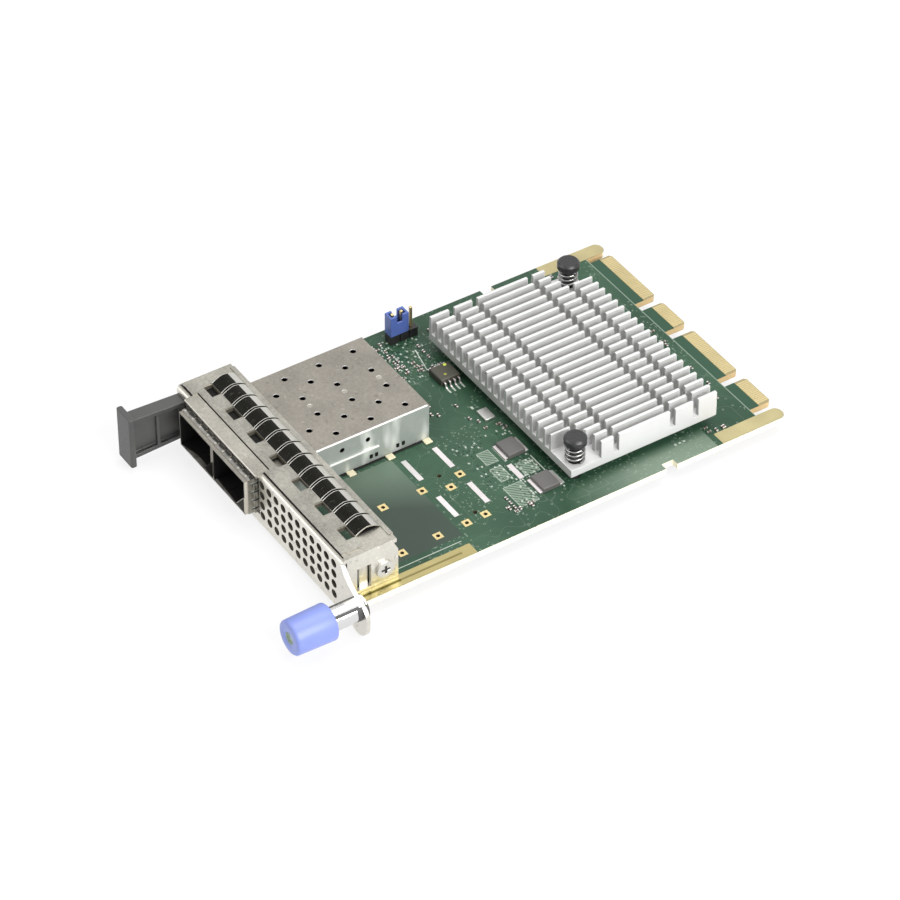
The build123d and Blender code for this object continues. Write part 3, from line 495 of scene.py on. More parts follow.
def makeBoardMask():
    # solder mask over copper: planes, fine tracks, vias, bare footprints, and the laminate on the cut edges
    mask = dict(
        green=(0.021, 0.06, 0.032), pale=(0.054, 0.12, 0.072), deep=(0.008, 0.022, 0.014),
        plane=(0.19, 0.25, 0.19), mint=(0.26, 0.33, 0.26), print=(0.6, 0.65, 0.58), shade=(0.042, 0.054, 0.045),
        tongue=(0.024, 0.07, 0.04), contact=(0.37, 0.3, 0.155), edge=(0.82, 0.78, 0.62),
        tongueEdge=(0.6, 0.45, 0.24),
        rootLine=108.8, rootWide=0.3, contactLine=111.7, tongueHalf=34.2, trackPitch=0.62, trackWide=0.3,
        viaPitch=2.7, viaRing=0.01, viaHole=0.0028, ribPitch=1.1, outline=0.22, cell=(0.85, 0.6),
        planeLeft=(30.5, 33.5), planeFront=(55.0, 74.0), planeRear=95.5, quiet=(1.5, 31.5, 9.5, 30.5),
        sheenSlope=0.55, sheen=(-16, 4), busy=(-34.5, -18.5, 45.0, 58.8), halfBusy=(6.0, 32.0, 44.0, 59.0),
        footprints=((23.4, 31.0, 46.3, 51.4), (16.6, 21.6, 47.2, 50.4), (10.6, 15.2, 47.6, 50.9),
                    (18.0, 22.8, 53.2, 57.2)),
        lines=((-27.9, 56.2, -20.3, 54.6, 0.12), (17.4, 57.9, 23.5, 57.9, 0.12), (10.7, 52.2, 16.2, 52.2, 0.3),
               (24.3, 59.0, 29.3, 59.0, 0.25), (-3.9, 55.9, -2.9, 55.9, 0.3), (33.0, 10.5, 33.0, 29.0, 0.1),
               (32.4, 87.3, 32.4, 87.9, 0.25), (32.4, 88.5, 32.4, 89.1, 0.25), (32.4, 89.7, 32.4, 90.3, 0.25),
               (-12.4, 54.8, -10.5, 54.8, 0.22), (-12.4, 56.07, -10.5, 56.07, 0.22),
               (-12.4, 57.34, -10.5, 57.34, 0.22), (-12.4, 58.6, -10.5, 58.6, 0.22)))
    finish = Finish("boardMask", mask["green"], 0.32)
    x, y = finish.axes()[:2]
    onCard, onTongues = y < mask["rootLine"], y > mask["rootLine"]
    betweenHooks = x.size() < mask["tongueHalf"]

    # copper areas under the mask, a plane beside the heatsink and a quiet corner with a painted sheen near the
    # cage that fades into the darker shade tone
    areas = finish.noise(26, 1.5, 0.4)
    copper = finish.spread(areas, 0.46, 0.53, 0, 1)
    broad = finish.spread(finish.noise(48, 2, 0.5), 0.35, 0.65, 0, 1)
    tone = finish.blend(copper * 0.35 + broad * 0.3, mask["green"], mask["pale"])
    onPlane = finish.spread(x, *mask["planeLeft"], 0, 1) * finish.spread(y, *mask["planeFront"], 0, 1)
    onPlane = onPlane * (y < mask["planeRear"])
    tone = finish.blend(onPlane * finish.spread(areas, 0.35, 0.6, 0.6, 0.85), tone, mask["plane"])
    quiet = within(x, y, *mask["quiet"])
    sheen = finish.spread(x - y * mask["sheenSlope"], *mask["sheen"], 0.0, 1)
    quietTone = finish.blend(sheen, mask["plane"], mask["shade"])
    tone = finish.blend(quiet * ((1 - sheen) * 0.5 + sheen * 0.65 + 0.1), tone, quietTone)

    # tongues, the ground between their contacts and the pale line at their root
    tone = finish.blend(onTongues * 0.8, tone, mask["tongue"])
    tone = finish.blend((y > mask["contactLine"]) * betweenHooks * 0.9, tone, mask["contact"])
    tone = finish.blend(onTongues * (y < mask["rootLine"] + mask["rootWide"]) * 0.7, tone, mask["mint"])

    # tracks in three directions, and single wandering ones
    pitch = mask["trackPitch"]
    alongX, alongY, diagonal = [finish.spread((place / pitch).part(), 0.0, mask["trackWide"], 1, 0)
                                for place in (y, x, x + y)]
    zone = finish.noise(85, 0.5, 0.5)
    tracks = (zone > 0.56) * alongX + (zone < 0.43) * alongY + (zone > 0.48) * (zone < 0.52) * diagonal
    tracks = tracks.atMost(1) * onCard * (1 - quiet) * (1 - onPlane * 0.8)
    tone = finish.blend(tracks * 0.55, tone, mask["deep"])
    wires = finish.noise(170, 0.0)
    tone = finish.blend((wires > 0.5) * (wires < 0.515) * (1 - quiet) * onCard * 0.13, tone, mask["mint"])

    # bare footprints, ribbed and outlined
    ribs = finish.spread(((x - y) / mask["ribPitch"]).part(), 0.35, 0.5, 0.2, 0.75)
    rim = mask["outline"]
    for x0, x1, y0, y1 in mask["footprints"]:
        inside = within(x, y, x0, x1, y0, y1)
        outline = inside * (1 - within(x, y, x0 + rim, x1 - rim, y0 + rim, y1 - rim))
        tone = finish.blend(inside * ribs, tone, mask["mint"])
        tone = finish.blend(outline * 0.35, tone, mask["print"])

    # vias, as rings round dark holes
    viaX, viaY = [((place / mask["viaPitch"]).part() - 0.5).size() for place in (x, y)]
    viaGap = viaX * viaX + viaY * viaY
    viaZone = (finish.noise(300, 0.0) > 0.54) * onCard * (1 - quiet)
    ring = (viaGap < mask["viaRing"]) * viaZone
    tone = finish.blend(ring * 0.6, tone, mask["mint"])
    tone = finish.blend((viaGap < mask["viaHole"]) * viaZone, tone, mask["deep"])

    # small pads in the busy areas, specks, and the printed lines
    busy = within(x, y, *mask["busy"]) + within(x, y, *mask["halfBusy"]) * (finish.noise(120, 0.0) > 0.46)
    number, inside = finish.cells(x, y, *mask["cell"])
    tone = finish.blend(busy * inside * (number > 0.87) * 0.7, tone, mask["print"])
    tone = finish.blend(busy * inside * (number < 0.25) * 0.75, tone, mask["deep"])
    speck = (finish.noise(1500, 0.0) > 0.69) * (finish.noise(60, 1.0) > 0.52) * onCard * (1 - quiet)
    tone = finish.blend(speck * 0.5, tone, mask["mint"])
    for ax, ay, bx, by, wide in mask["lines"]:
        long = math.hypot(bx - ax, by - ay)
        ux, uy = (bx - ax) / long, (by - ay) / long
        along = (x - ax) * ux + (y - ay) * uy
        across = ((x - ax) * uy - (y - ay) * ux).size()
        tone = finish.blend((across < wide) * (along > 0) * (along < long) * 0.75, tone, mask["print"])

    # the cut edges show the laminate
    side = finish.facing()[2].size() < half
    sideTone = finish.blend(onTongues * betweenHooks, mask["edge"], mask["tongueEdge"])
    finish.set("Base Color", finish.blend(side, tone, sideTone))
    finish.set("Roughness", finish.spread(side, 0, 1, 0.34, 0.8))
    finish.set("Coat Weight", (1 - side) * 0.12)
    finish.set("Coat Roughness", 0.2)
    finish.set("Specular IOR Level", 0.22)
    finish.bump(tracks * 0.6 + ring, 0.3, 0.03)
    return finish


def makeRailPlate(name, colour, front, line):
    # gold strip with a thin olive line near the faceplate, widened into a painted shadow under the side flange,
    # darker at its root
    rail = dict(lineX=36.3, lineEnd=27.0, lineHalf=0.28, darkEnd=11.0, darkHalf=0.5, frontEnd=33.0)
    finish = makeSheet(name, colour, 0.34, (1, 8, 1), 0.08)
    x, y = finish.axes()[:2]
    plain = finish.noise(140, 3)
    off = (x.size() - rail["lineX"]).size()
    lineAndShadow = (off < rail["lineHalf"]) * (y < rail["lineEnd"]) * 0.6
    # a painted shadow under the side flange widens the line
    lineAndShadow = lineAndShadow + (off < rail["darkHalf"]) * (y < rail["darkEnd"]) * 0.4
    base = finish.blend(plain, toned(colour, 0.9), toned(colour, 1.06))
    base = finish.blend((y < rail["frontEnd"]) * 0.9, base, front)
    finish.set("Base Color", finish.blend(lineAndShadow, base, line))
    return finish


def makeBeadedAluminium():
    # bead-blasted aluminium: fine grain, almost without a mirror
    sink = dict(dark=(0.62, 0.62, 0.61), light=(0.71, 0.71, 0.705), metal=0.25)
    finish = Finish("beadedAluminium", sink["light"], 0.5, sink["metal"])
    fine = finish.noise(2200, 3)
    broad = finish.noise(90, 2)
    finish.set("Base Color", finish.blend(broad, sink["dark"], sink["light"]))
    finish.set("Roughness", finish.spread(fine, 0.3, 0.7, 0.45, 0.62))
    finish.bump(fine, 0.3, 0.02)
    return finish


def makeStripFront():
    # black squares of painted shade on the fingers' fronts, with a bright rim along each slot as a painted
    # highlight
    rim = dict(first=-29.2, pitch=4.74, wide=0.42, end=7.7, metal=(0.6, 0.59, 0.54),
               black=(0.008, 0.008, 0.006))
    finish = Finish("stripFront", rim["black"], 0.3)
    finish.set("Specular IOR Level", 0.08)
    x, y = finish.axes()[:2]
    place = (((x - rim["first"]) / rim["pitch"]).part() - 0.5).size() * rim["pitch"]
    streak = finish.noise(700, 2, stretch=(6, 1, 1))
    light = ((place < rim["wide"]) + (streak > 0.68) * 0.1 + (y > rim["end"])).atMost(1)
    finish.set("Base Color", finish.blend(light, rim["black"], rim["metal"]))
    finish.set("Metallic", light)
    finish.set("Roughness", finish.spread(streak, 0.3, 0.7, 0.22, 0.4))
    return finish


boardMask = makeBoardMask()
beadedAluminium = makeBeadedAluminium()
faceSheet = makeGrainedSheet("faceSheet", (0.72, 0.7, 0.64), 0.38, 0.1)
# a darker tone of the faceplate sheet, as painted shade on the plate's top faces and a painted highlight on the
# cage's dimple floors
topShadeAndHighlight = makeGrainedSheet("topShadeAndHighlight", (0.37, 0.354, 0.31), 0.38, 0.22)
cageSheet = makeGrainedSheet("cageSheet", (0.265, 0.247, 0.215), 0.44)
# the cage's right wall: a lighter sheet than the roof, with painted reflections and painted shade at the mouth
paintedLightCageSide = makeSheetWithPaintedReflections("paintedLightCageSide", (0.36, 0.395, 0.365), (0.82, 0.84, 0.79), 0.5, 0.35)
padCream = makePlasticOrShade("padCream", (0.72, 0.66, 0.46), 0.45)
# near-white sheet as a painted highlight on the cage's folds and on its dimples' rims
paintedHighlightRim = makeSheet("paintedHighlightRim", (0.92, 0.91, 0.88), 0.4, (2, 2, 2), 0.04)
paintedHighlightRim.set("Metallic", 0.3)
mouthShade = makeMouthShade()
# near-black painted shade for the ports' insides, also used for the dark sheets in the windows and the dark
# marks along the cage's wall
cageInside = makePlasticOrShade("cageInside", (0.012, 0.012, 0.011), 0.55)
cageInside.set("Specular IOR Level", 0.15)
barrelNickel = makeBarrelNickel()
grooveShade = makePlasticOrShade("grooveShade", (0.02, 0.019, 0.016), 0.6)
ventShade = makePlasticOrShade("ventShade", (0.095, 0.085, 0.065), 0.55)
stripSheet = makeGrainedSheet("stripSheet", (0.36, 0.347, 0.306), 0.3, 0.28)
stripFront = makeStripFront()
railPlate = makeRailPlate("railPlate", (0.52, 0.455, 0.25), (0.41, 0.35, 0.16), (0.1, 0.085, 0.018))
# darker tones of the heatsink's aluminium as painted shade on its fin sides, fin ends and base ends
finSideShade = makePlasticOrShade("finSideShade", (0.56, 0.56, 0.55), 0.6, 0.12)
finEndShade = makePlasticOrShade("finEndShade", (0.38, 0.39, 0.37), 0.6, 0.25)
baseEndShade = makePlasticOrShade("baseEndShade", (0.36, 0.37, 0.35), 0.6, 0.2)
holeShade = makePlasticOrShade("holeShade", (0.07, 0.045, 0.022), 0.6)
# near-black painted shade for the side screws' recesses
screwRecessShade = makePlasticOrShade("screwRecessShade", (0.035, 0.034, 0.032), 0.5)
knobEye = makePlasticOrShade("knobEye", (0.42, 0.5, 0.42), 0.4, 0.2)
goldPlate = makeSheet("goldPlate", (0.68, 0.55, 0.28), 0.38, (1, 8, 1), 0.14)
contactPlate = makeSheet("contactPlate", (0.58, 0.49, 0.27), 0.44, (8, 1, 1), 0.12)
tinPlate = makeSheet("tinPlate", (0.66, 0.62, 0.62), 0.42, (4, 4, 4), 0.12)
turnedNickel = makeSheet("turnedNickel", (0.66, 0.66, 0.66), 0.16, (1, 30, 1), 0.12)
screwNickel = makeSheet("screwNickel", (0.7, 0.69, 0.65), 0.32, (3, 3, 3), 0.1)
springWire = makeSheet("springWire", (0.36, 0.36, 0.35), 0.22, (6, 6, 6), 0.1)
blackMoulding = makePlasticOrShade("blackMoulding", (0.062, 0.062, 0.06), 0.42)
pinMoulding = makePlasticOrShade("pinMoulding", (0.02, 0.02, 0.021), 0.3)
portMoulding = makePlasticOrShade("portMoulding", (0.012, 0.012, 0.012), 0.45)
knobMoulding = makePlasticOrShade("knobMoulding", (0.205, 0.26, 0.61), 0.36, 0.12)
capMoulding = makePlasticOrShade("capMoulding", (0.075, 0.125, 0.38), 0.4, 0.2)
packageMoulding = makePlasticOrShade("packageMoulding", (0.058, 0.055, 0.04), 0.45)
chokeMoulding = makePlasticOrShade("chokeMoulding", (0.11, 0.105, 0.1), 0.55, 0.15)
tanCeramic = makePlasticOrShade("tanCeramic", (0.13, 0.1, 0.075), 0.45, 0.4)
dotBright = makePlasticOrShade("dotBright", (0.62, 0.7, 0.1), 0.5)
dotOlive = makePlasticOrShade("dotOlive", (0.3, 0.3, 0.05), 0.5)
softPad = makePlasticOrShade("softPad", (0.5, 0.5, 0.52), 0.8)
bakedCan = makeSheet("bakedCan", (0.7, 0.69, 0.66), 0.3, (3, 3, 3), 0.05)
print("finishes made")


# Board and what is plated on it

def holeTools(places, radius, low, high, sides=24):
    return [addRod("hole", (x, y, (low + high) / 2), "Z", high - low, radius, sides) for x, y in places]


padHoles = dict(radius=0.52, low=-2.5, high=1, shade=0.7, places=(
    (14.3, 20.4), (14.4, 30.7), (14.2, 41.0), (28.8, 25.6), (28.7, 33.3), (28.5, 38.4), (29.2, 15.9),
    (16.8, 36.9), (12.2, 36.7), (26.7, 36.8)))


def makeBoard():
    h = padHoles
    cutters = holeTools(h["places"], h["radius"], h["low"], h["high"])
    board = carriedOver("circuit_board", "circuitBoard", boardMask, "card", 0.06, 1, 40, cutters)
    repaint(board, holeShade, lambda x, y, z, n: abs(n.z) < slight
            and any(math.hypot(x - px, y - py) < h["shade"] for px, py in h["places"]))


makeBoard()
for node, finish in (("edge_contacts", contactPlate), ("guide_rails", railPlate), ("square_pads", goldPlate),
                     ("bar_pads", tinPlate)):
    paint(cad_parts[node], finish)
print("board done")


# Faceplate, spring strip and screws

ventSizes = dict(x0=1.9, z0=-0.2, pitch=3.0, columns=11, rows=4, y=-2.9, deep=1.6, radius=1.06, sides=20,
                 rear=-1.8, low=-1.4, high=10.1, left=0.7, right=33.2)
windowSizes = dict(x0=-29.2, pitch=9.48, count=7, width=3.9, y0=1.3, y1=3.55, low=10.2, high=11.6, reach=31.5)
plateSizes = dict(top=10.5, grooveLow=10.9, grooveHigh=11.36, grooves=((-2.5, -2.05), (-1.05, -0.62)))
shadeSheetSizes = dict(under=((-31.6, 0.9, 10.1), (-3.0, 4.2, 10.25)),
                  core=((-31.2, 4.7, 11.38), (29.7, 9.3, 11.62)))
tabSizes = dict(low=(32.9, 1.75, 0.7), high=(34.0, 3.95, 6.3))


def makeFaceplate():
    v, w, p = ventSizes, windowSizes, plateSizes
    tools = [addRod("vent", (v["x0"] + i * v["pitch"], v["y"], v["z0"] + j * v["pitch"]), "Y", v["deep"],
                    v["radius"], v["sides"])
             for i in range(v["columns"]) for j in range(v["rows"])]
    for i in range(w["count"]):
        x = w["x0"] + i * w["pitch"]
        tools.append(addSpan("window", around(x, w["width"] / 2), (w["y0"], w["y1"]), (w["low"], w["high"])))
    plate = carriedOver("faceplate", "faceplateSheet", faceSheet, "card", 0.12, 2, 40, tools)
    # painted shade: the plate's top faces take a darker tone than its front
    repaint(plate, topShadeAndHighlight, lambda x, y, z, n: n.z > mostly and z > p["top"])
    repaint(plate, ventShade, lambda x, y, z, n: abs(n.y) < slight and y < v["rear"]
            and v["low"] < z < v["high"] and v["left"] < x < v["right"])
    repaint(plate, ventShade, lambda x, y, z, n: abs(n.z) < slight and z > w["low"]
            and w["y0"] - near < y < w["y1"] + near and abs(x) < w["reach"])
    repaint(plate, grooveShade, lambda x, y, z, n: n.z > -half and p["grooveLow"] < z < p["grooveHigh"]
            and any(front < y < rear for front, rear in p["grooves"]))
    # dark sheets standing in for shade, under the faceplate's windows and beneath the spring fingers
    shadeSheet = [addBlock("shadeSheet", *shadeSheetSizes["under"]), addBlock("core", *shadeSheetSizes["core"])]
    added(shadeSheet, "stripShadeSheets", cageInside, 0.03)
    added([addBlock("tab", tabSizes["low"], tabSizes["high"])], "sideTab", faceSheet, 0.12, 2)


stripSizes = dict(front=3.6, rear=9.9, root=0.6, base=11.4)


def makeSpringStrip():
    f = stripSizes
    strip = carriedOver("emi_gasket", "springStrip", stripSheet, "card", 0.0)
    # painted shade and highlights on the fingers' arches
    repaint(strip, stripFront, lambda x, y, z, n: n.z > slight and z > f["base"] + near
            and f["front"] - near < y < f["rear"] - f["root"])


sideScrews = dict(heads=dict(left=35.7, right=35.5), y=7.6, z=4.2, recess=1.5, deep=0.5, proud=0.05)


def makeScrews():
    s = sideScrews
    carriedOver("pull_tab_screw", "pullTabScrew", turnedNickel, "card", 0.12)
    for side, outer in s["heads"].items():
        screw = carriedOver("side_screw_" + side, "sideScrew" + side.capitalize(), screwNickel, "card",
                            0.1)
        # painted shade in each head's recess
        repaint(screw, screwRecessShade, lambda x, y, z, n: outer - s["deep"] < abs(x) < outer + s["proud"]
                and (y - s["y"]) ** 2 + (z - s["z"]) ** 2 < s["recess"])
    for side in s["heads"]:
        carriedOver("corner_block_" + side, "cornerBlock" + side.capitalize(), turnedNickel, "card",
                    0.15)


makeFaceplate()
makeSpringStrip()
makeScrews()
carriedOver("pull_tab", "pullTab", blackMoulding, "card", 0.2, 3)
print("faceplate done")


# Transceiver cage

cageSizes = dict(left=-28.6, right=-0.1, mouth=-6.7, rear=42.0, roof=9.8, wallTop=9.45, wall=0.25, skin=0.03,
                 roofFront=8, roofRear=0.4, roofSide=0.3, under=0.05, mouthDeep=0.3, lipDeep=1.2, sideFront=1,
                 bandTop=10.02, bandSlope=0.25, bandLevel=0.95)
ventRows = dict(middle=-14.35, port=7.125, side=3.95, y0=14.6, pitch=4.6, rows=6, radius=0.77, sides=20,
                low=9.2, high=10.4)


def cageHoles():
    v = ventRows
    places = []
    for port in (-1, 1):
        x = v["middle"] + port * v["port"]
        for row in range(v["rows"]):
            y = v["y0"] + row * v["pitch"]
            places += [(x - v["side"], y), (x + v["side"], y)] if row % 2 else [(x, y)]
    return holeTools(places, v["radius"], v["low"], v["high"], v["sides"])


trimSizes = dict(lip=((-0.45, 8.5, 9.62), (0.02, 41.6, 9.88)), ledge=((-0.12, 14.6, 3.95), (0.35, 28.4, 4.3)),
                 foot=((0.05, 18.2, 0.0), (0.6, 41.0, 0.3)),
                 leaves=(-21.475, -7.225), leafHalf=1.55, leafY=(-5.45, -3.15), leafZ=(0.17, 0.4),
                 tails=(26.4, 27.8, 33.5, 35.0), tailHalf=0.4, tailX=(-0.1, 0.12), tailZ=(1.2, 2.3),
                 pads=((0.9, 20.5), (0.9, 30.9), (0.9, 40.9)), padHalf=(0.9, 0.95), padTop=0.33)


def makeCageTrim():
    # lip and ledge in a painted highlight, near-black foot strip and tails and pads along the cage's right
    # wall, and the latch leaves in the ports in painted shade
    t = trimSizes
    folds = [addBlock("lip", *t["lip"]), addBlock("ledge", *t["ledge"])]
    added(folds, "cageFolds", paintedHighlightRim, 0.1, 2, even=True)
    added([addBlock("foot", *t["foot"])], "cageFoot", cageInside, 0.1)
    leaves = [addSpan("leaf", around(x, t["leafHalf"]), t["leafY"], t["leafZ"]) for x in t["leaves"]]
    added(leaves, "latchLeaves", cageInside, 0.06)
    tails = [addSpan("tail", t["tailX"], around(y, t["tailHalf"]), t["tailZ"]) for y in t["tails"]]
    added(tails, "cageTails", cageInside, 0.12, 2)
    wide, deep = t["padHalf"]
    pads = [addSpan("pad", around(x, wide), around(y, deep), (0.0, t["padTop"])) for x, y in t["pads"]]
    added(pads, "cagePads", padCream, 0.12, 2)


def makeCage():
    c = cageSizes

    def onRoof(x, y, z, skin):
        # the roof and its dimples, clear of the mouth and of the walls
        return (c["wallTop"] < z < c["roof"] + skin and x < c["right"] - c["roofSide"]
                and c["mouth"] + c["roofFront"] < y < c["rear"] - c["roofRear"])

    shell = carriedOver("transceiver_cage", "cageShell", cageSheet, "card", 0.1, 2, 40, cageHoles())
    # painted shade inside the ports
    repaint(shell, cageInside, lambda x, y, z, n: 0.0 < z < c["roof"] - c["under"]
            and c["left"] + c["wall"] < x < c["right"] - c["wall"] and c["mouth"] + near < y < c["rear"] - near)
    # painted reflections and painted shade on the right wall's outer face
    repaint(shell, paintedLightCageSide, lambda x, y, z, n: n.x > fully and x > c["right"] - near
            and y > c["mouth"] + c["sideFront"])
    # painted highlights on the dimples' rims and floors
    repaint(shell, paintedHighlightRim, lambda x, y, z, n: onRoof(x, y, z, c["skin"]) and abs(n.z) < mostly)
    repaint(shell, topShadeAndHighlight, lambda x, y, z, n: onRoof(x, y, z, -c["skin"]) and n.z > mostly)
    # painted shade at the mouth
    repaint(shell, mouthShade, lambda x, y, z, n: y < c["mouth"] + c["mouthDeep"]
            or (n.z > half and y < c["mouth"] + c["lipDeep"]))
    makeCageTrim()
    divider = carriedOver("cage_divider", "cageDivider", cageSheet, "card", 0.08)
    # painted shade inside the ports
    repaint(divider, cageInside, lambda x, y, z, n: y > c["mouth"] + near or y < c["mouth"] - c["under"])
    band = carriedOver("cage_spring_band", "cageSpringBand", stripSheet, "card", 0.04, 1)
    # painted shade with pale painted highlights on the spring band's top under the visor
    repaint(band, mouthShade, lambda x, y, z, n: n.z > c["bandSlope"]
            and (z < c["bandTop"] or n.z < c["bandLevel"]))
    for side in ("left", "right"):
        carriedOver("host_socket_" + side, "socket" + side.capitalize(), portMoulding, "card", 0.15)


makeCage()
print("cage done")


# Springs and the thumbscrew

def addSpring(name, node, centre, axis, start, height, radius, wire, turns):
    # a coil of the card that stands for a CAD spring
    coil = addCoil(name, centre, axis, start, height, radius, wire, turns)
    smoothByAngle(coil, 60)
    paint(coil, springWire)
    return seat(coil, "card", [node])


knobSizes = dict(x=41.3, z=2.8, front=-20.7, rear=-10.5, radius=4.4, nose=4.2, bore=2.9, boreDepth=5.6,
                 shank=1.27, core=0.6, flat=0.6, dimple=1.5, dimpleDepth=0.8, dimpleFlat=0.5, dimpleRound=0.2,
                 lip=0.15, eyeFront=0.3, eyeRear=1.2,
                 noseRound=((0.12, 0.28), (0.38, 0.06), (0.8, 0)),
                 rearRound=((0.6, 0), (0.25, 0.08), (0.06, 0.28), (0, 0.5)))


def makeKnob():
    # turned from the dimple in its front face, over its outside, to the bore that the barrel stands in
    k = knobSizes
    eye, floor, lip = k["front"] + k["dimpleDepth"], k["rear"] - k["boreDepth"], k["lip"]
    stations = [(eye, k["dimple"] * k["dimpleFlat"]), (eye, k["dimple"] - lip), (k["front"] + lip, k["dimple"]),
                (k["front"], k["dimple"] + k["dimpleRound"]), (k["front"], k["nose"] - k["flat"])]
    stations += [(k["front"] + back, k["nose"] - inward) for back, inward in k["noseRound"]]
    stations += [(k["rear"] - back, k["radius"] - inward) for back, inward in k["rearRound"]]
    stations += [(k["rear"], k["bore"] + lip), (k["rear"] - lip, k["bore"]), (floor, k["bore"]),
                 (floor, k["shank"]), (floor, k["core"])]
    knob = addTurned("thumbKnob", (k["x"], 0, k["z"]), "Y", stations, 56)
    smoothByAngle(knob, 40)
    paint(knob, knobMoulding)
    repaint(knob, knobEye, lambda x, y, z, n: k["front"] + k["eyeFront"] < y < k["front"] + k["eyeRear"]
            and (x - k["x"]) ** 2 + (z - k["z"]) ** 2 < k["dimple"] ** 2)
    seat(knob, "screw", ["thumbscrew_knob"])


coilSizes = dict(start=-16.05, long=7.8, radius=1.7, wire=0.25, turns=6, travel=4.2)


def makeThumbscrew():
    makeKnob()
    carriedOver("thumbscrew_barrel", "thumbBarrel", barrelNickel, "card", 0.12, 2)
    carriedOver("thumbscrew_shank", "thumbShank", turnedNickel, "screw", 0.04, 1)
    carriedOver("thumbscrew_ring", "thumbRing", turnedNickel, "screw_slide", 0.03, 1)
    c = coilSizes
    x, z = knobSizes["x"], knobSizes["z"]
    coil = addSpring("thumbSpring", "thumbscrew_spring", (x, 0, z), "Y", c["start"], c["long"], c["radius"],
                     c["wire"], c["turns"])
    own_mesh(coil)


makeThumbscrew()
print("thumbscrew done")


# Heatsink, chip and push pins

heatsinkSizes = dict(base=4.7, right=31.1)


def makeHeatsink():
    h = heatsinkSizes
    block = carriedOver("heatsink", "heatsinkBlock", beadedAluminium, "card", 0.14, 2, 50)
    # painted shade: fin sides between the fins, fin ends and base ends take darker tones than the block
    repaint(block, finSideShade, lambda x, y, z, n: abs(n.x) > fully and h["base"] < z and x < h["right"])
    repaint(block, finEndShade, lambda x, y, z, n: abs(n.y) > fully and h["base"] < z)
    repaint(block, baseEndShade, lambda x, y, z, n: abs(n.y) > fully and h["base"] >= z)
    carriedOver("controller_chip", "controllerChip", packageMoulding, "card", 0.06)
    carriedOver("thermal_pad", "thermalPad", softPad, "card", 0.06)


pinSizes = dict(places=dict(front=(28.3, 62.5), rear=(-24.2, 96.7)), radius=2.1, wire=0.28, low=4.65, high=8.85,
                turns=3)


def makePushPins():
    p = pinSizes
    for end, (x, y) in p["places"].items():
        carriedOver("push_pin_" + end, "pushPin" + end.capitalize(), pinMoulding, "card", 0.12, 2)
        addSpring("pinSpring" + end.capitalize(), "push_pin_spring_" + end, (x, y, 0), "Z", p["low"],
                  p["high"] - p["low"], p["radius"], p["wire"], p["turns"])


makeHeatsink()
makePushPins()
print("heatsink done")


# Small parts

for node, name, finish, slot, bevel in (
        ("header_base", "headerBase", portMoulding, "black", 0.1),
        ("header_pins", "headerPins", goldPlate, "gold", 0.08),
        ("jumper_cap", "jumperCap", capMoulding, "blue_cap", 0.12),
        ("memory_chip", "memoryChip", packageMoulding, "package", 0.05),
        ("memory_leads", "memoryLeads", tinPlate, "tin", 0.04),
        ("inductor_left", "inductorLeft", chokeMoulding, "package", 0.08),
        ("inductor_right", "inductorRight", chokeMoulding, "package", 0.08),
        ("inductor_terminals", "inductorTerminals", tinPlate, "tin", 0.06),
        ("oscillator", "oscillatorCan", bakedCan, "can", 0.12),
        ("chip_parts", "chipBodies", tanCeramic, "ceramic", 0.04),
        ("chip_part_ends", "chipEnds", tinPlate, "tin", 0.05)):
    carriedOver(node, name, finish, "card", bevel)


tinySizes = dict(
    seed=7, long=0.62, short=0.5, high=0.42, lengthwise=0.6, endWide=0.2, lap=0.02, proud=0.03,
    clusters=((-34.0, -26.5, 44.5, 51.0, 20), (-26.5, -19.5, 45.5, 54.0, 24), (-20.5, -19.4, 55.0, 58.6, 4),
              (-12.8, -4.8, 46.0, 49.5, 5), (-1.5, 6.5, 56.3, 58.8, 6), (-6.0, 5.0, 52.5, 54.5, 4),
              (29.0, 32.2, 42.0, 50.0, 7), (31.3, 33.5, 95.5, 102.5, 5), (-30.0, 26.0, 102.0, 106.8, 24),
              (-34.0, -29.5, 62.0, 100.0, 12)))


def makeTinyParts():
    # very small capacitors and resistors between the larger parts
    t = tinySizes
    draw = random.Random(t["seed"])
    end, bodies, ends = t["endWide"], [], []
    for x0, x1, y0, y1, count in t["clusters"]:
        for i in range(count):
            x, y = draw.uniform(x0, x1), draw.uniform(y0, y1)
            alongX = draw.random() < t["lengthwise"]
            wide, deep = (t["long"], t["short"]) if alongX else (t["short"], t["long"])
            bodies.append(addSpan("body", around(x, wide / 2), around(y, deep / 2), (0, t["high"])))
            for way in (-1, 1):
                if alongX:
                    xSpan, ySpan = around(x + way * (wide + end) / 2, end / 2), around(y, deep / 2 + t["lap"])
                else:
                    xSpan, ySpan = around(x, wide / 2 + t["lap"]), around(y + way * (deep + end) / 2, end / 2)
                ends.append(addSpan("end", xSpan, ySpan, (0, t["high"] + t["proud"])))
    added(bodies, "tinyBodies", tanCeramic, 0.04)
    added(ends, "tinyEnds", tinPlate, 0.04)


dotSizes = dict(bright=(-18.0, 57.9, 0.42), olive=(-15.0, 56.1, 0.36), top=1.86, sunk=0.05, proud=0.02,
                chamfer=0.05)


def makeDots():
    # printed marks on the memory chip
    d = dotSizes
    for name, finish in (("bright", dotBright), ("olive", dotOlive)):
        x, y, radius = d[name]
        stations = [(d["top"] - d["sunk"], radius), (d["top"], radius),
                    (d["top"] + d["proud"], radius - d["chamfer"])]
        dot = addTurned("chipDot" + name.capitalize(), (x, y, 0), "Z", stations, 20)
        paint(dot, finish)
        seat(dot, "card")


makeTinyParts()
makeDots()
print("small parts done")


# Stage, light and camera

stage = dict(floor=(0.93, 0.93, 0.93), size=3.0, below=0.0002, backdropShare=0.8, worldStrength=0.36)


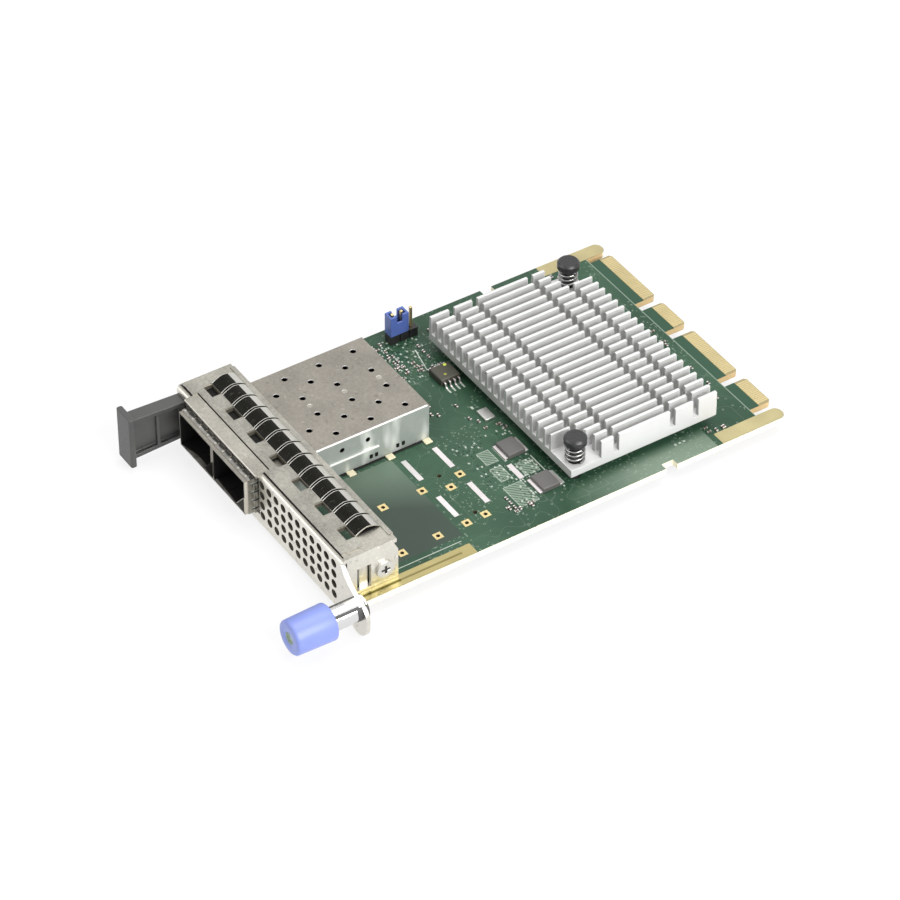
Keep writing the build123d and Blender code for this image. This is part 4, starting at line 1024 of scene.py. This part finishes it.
def makeStage():
    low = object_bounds()[0]
    deselectAll()
    bpy.ops.mesh.primitive_plane_add(size=stage["size"], location=(0, 0, low[2] - stage["below"]))
    floor = bpy.context.object
    floor.name = "paleFloor"
    finish = Finish("paleFloorPaint", stage["floor"], 0.9)
    path = finish.tree.nodes.new("ShaderNodeLightPath")
    seen = Wire(finish, path.outputs["Is Camera Ray"]) + Wire(finish, path.outputs["Is Glossy Ray"])
    seen = (seen + Wire(finish, path.outputs["Is Transmission Ray"])).atMost(1) * stage["backdropShare"]
    glow = finish.node("ShaderNodeEmission", {}, {})
    plain = Wire(finish, finish.shader.outputs[0])
    finish.feed(finish.out.inputs[0], finish.node("ShaderNodeMixShader", {}, {0: seen, 1: plain, 2: glow}))
    floor.data.materials.append(finish.material)
    world = bpy.data.worlds.new("softRoom")
    bpy.context.scene.world = world
    world.use_nodes = True
    tree = world.node_tree
    tree.nodes.clear()
    out = tree.nodes.new("ShaderNodeOutputWorld")
    background = tree.nodes.new("ShaderNodeBackground")
    path = tree.nodes.new("ShaderNodeLightPath")
    seen = tree.nodes.new("ShaderNodeMath")
    seen.operation = "MAXIMUM"
    level = tree.nodes.new("ShaderNodeMapRange")
    level.inputs["To Min"].default_value = stage["worldStrength"]
    level.inputs["To Max"].default_value = 1.0
    tree.links.new(path.outputs["Is Camera Ray"], seen.inputs[0])
    tree.links.new(path.outputs["Is Glossy Ray"], seen.inputs[1])
    tree.links.new(seen.outputs[0], level.inputs["Value"])
    tree.links.new(level.outputs[0], background.inputs["Strength"])
    background.inputs["Color"].default_value = (1, 1, 1, 1)
    tree.links.new(background.outputs[0], out.inputs[0])


lamps = dict(
    key=dict(place=(0.6, 0.12, 0.42), size=0.45, power=5.3),
    top=dict(place=(-0.05, 0.2, 0.8), size=0.6, power=4.0),
    fill=dict(place=(-0.3, -0.6, 0.4), size=0.6, power=1.8))
lampAim = Vector((0.005, 0.045, 0))


def makeLamps():
    for name, lamp in lamps.items():
        data = bpy.data.lights.new(name + "Lamp", "AREA")
        data.size = lamp["size"]
        data.energy = lamp["power"]
        light = bpy.data.objects.new(name + "Lamp", data)
        bpy.context.scene.collection.objects.link(light)
        light.location = lamp["place"]
        light.rotation_euler = (lampAim - light.location).to_track_quat("-Z", "Y").to_euler()


view = dict(azimuth=56.503, elevation=41.225, roll=0.409, distance=0.89887, lens=158.63, sensor=36,
            aim=(6.113, 43.612, 0.0), clip=(0.01, 20))


def makeCamera():
    data = bpy.data.cameras.new("photoCamera")
    data.lens = view["lens"]
    data.sensor_width = view["sensor"]
    data.clip_start, data.clip_end = view["clip"]
    camera = bpy.data.objects.new("photoCamera", data)
    bpy.context.scene.collection.objects.link(camera)
    az, el, roll = (math.radians(view[k]) for k in ("azimuth", "elevation", "roll"))
    away = Vector((math.sin(az) * math.cos(el), -math.cos(az) * math.cos(el), math.sin(el)))
    right = Vector((math.cos(az), math.sin(az), 0))
    up = away.cross(right)
    right, up = right * math.cos(roll) + up * math.sin(roll), up * math.cos(roll) - right * math.sin(roll)
    turn = Matrix((right, up, away)).transposed()
    camera.rotation_euler = turn.to_euler()
    camera.location = Vector(view["aim"]) * mm + away * view["distance"]
    bpy.context.scene.camera = camera


makeStage()
makeLamps()
makeCamera()
bpy.context.scene.view_settings.view_transform = "Standard"
print("stage done")
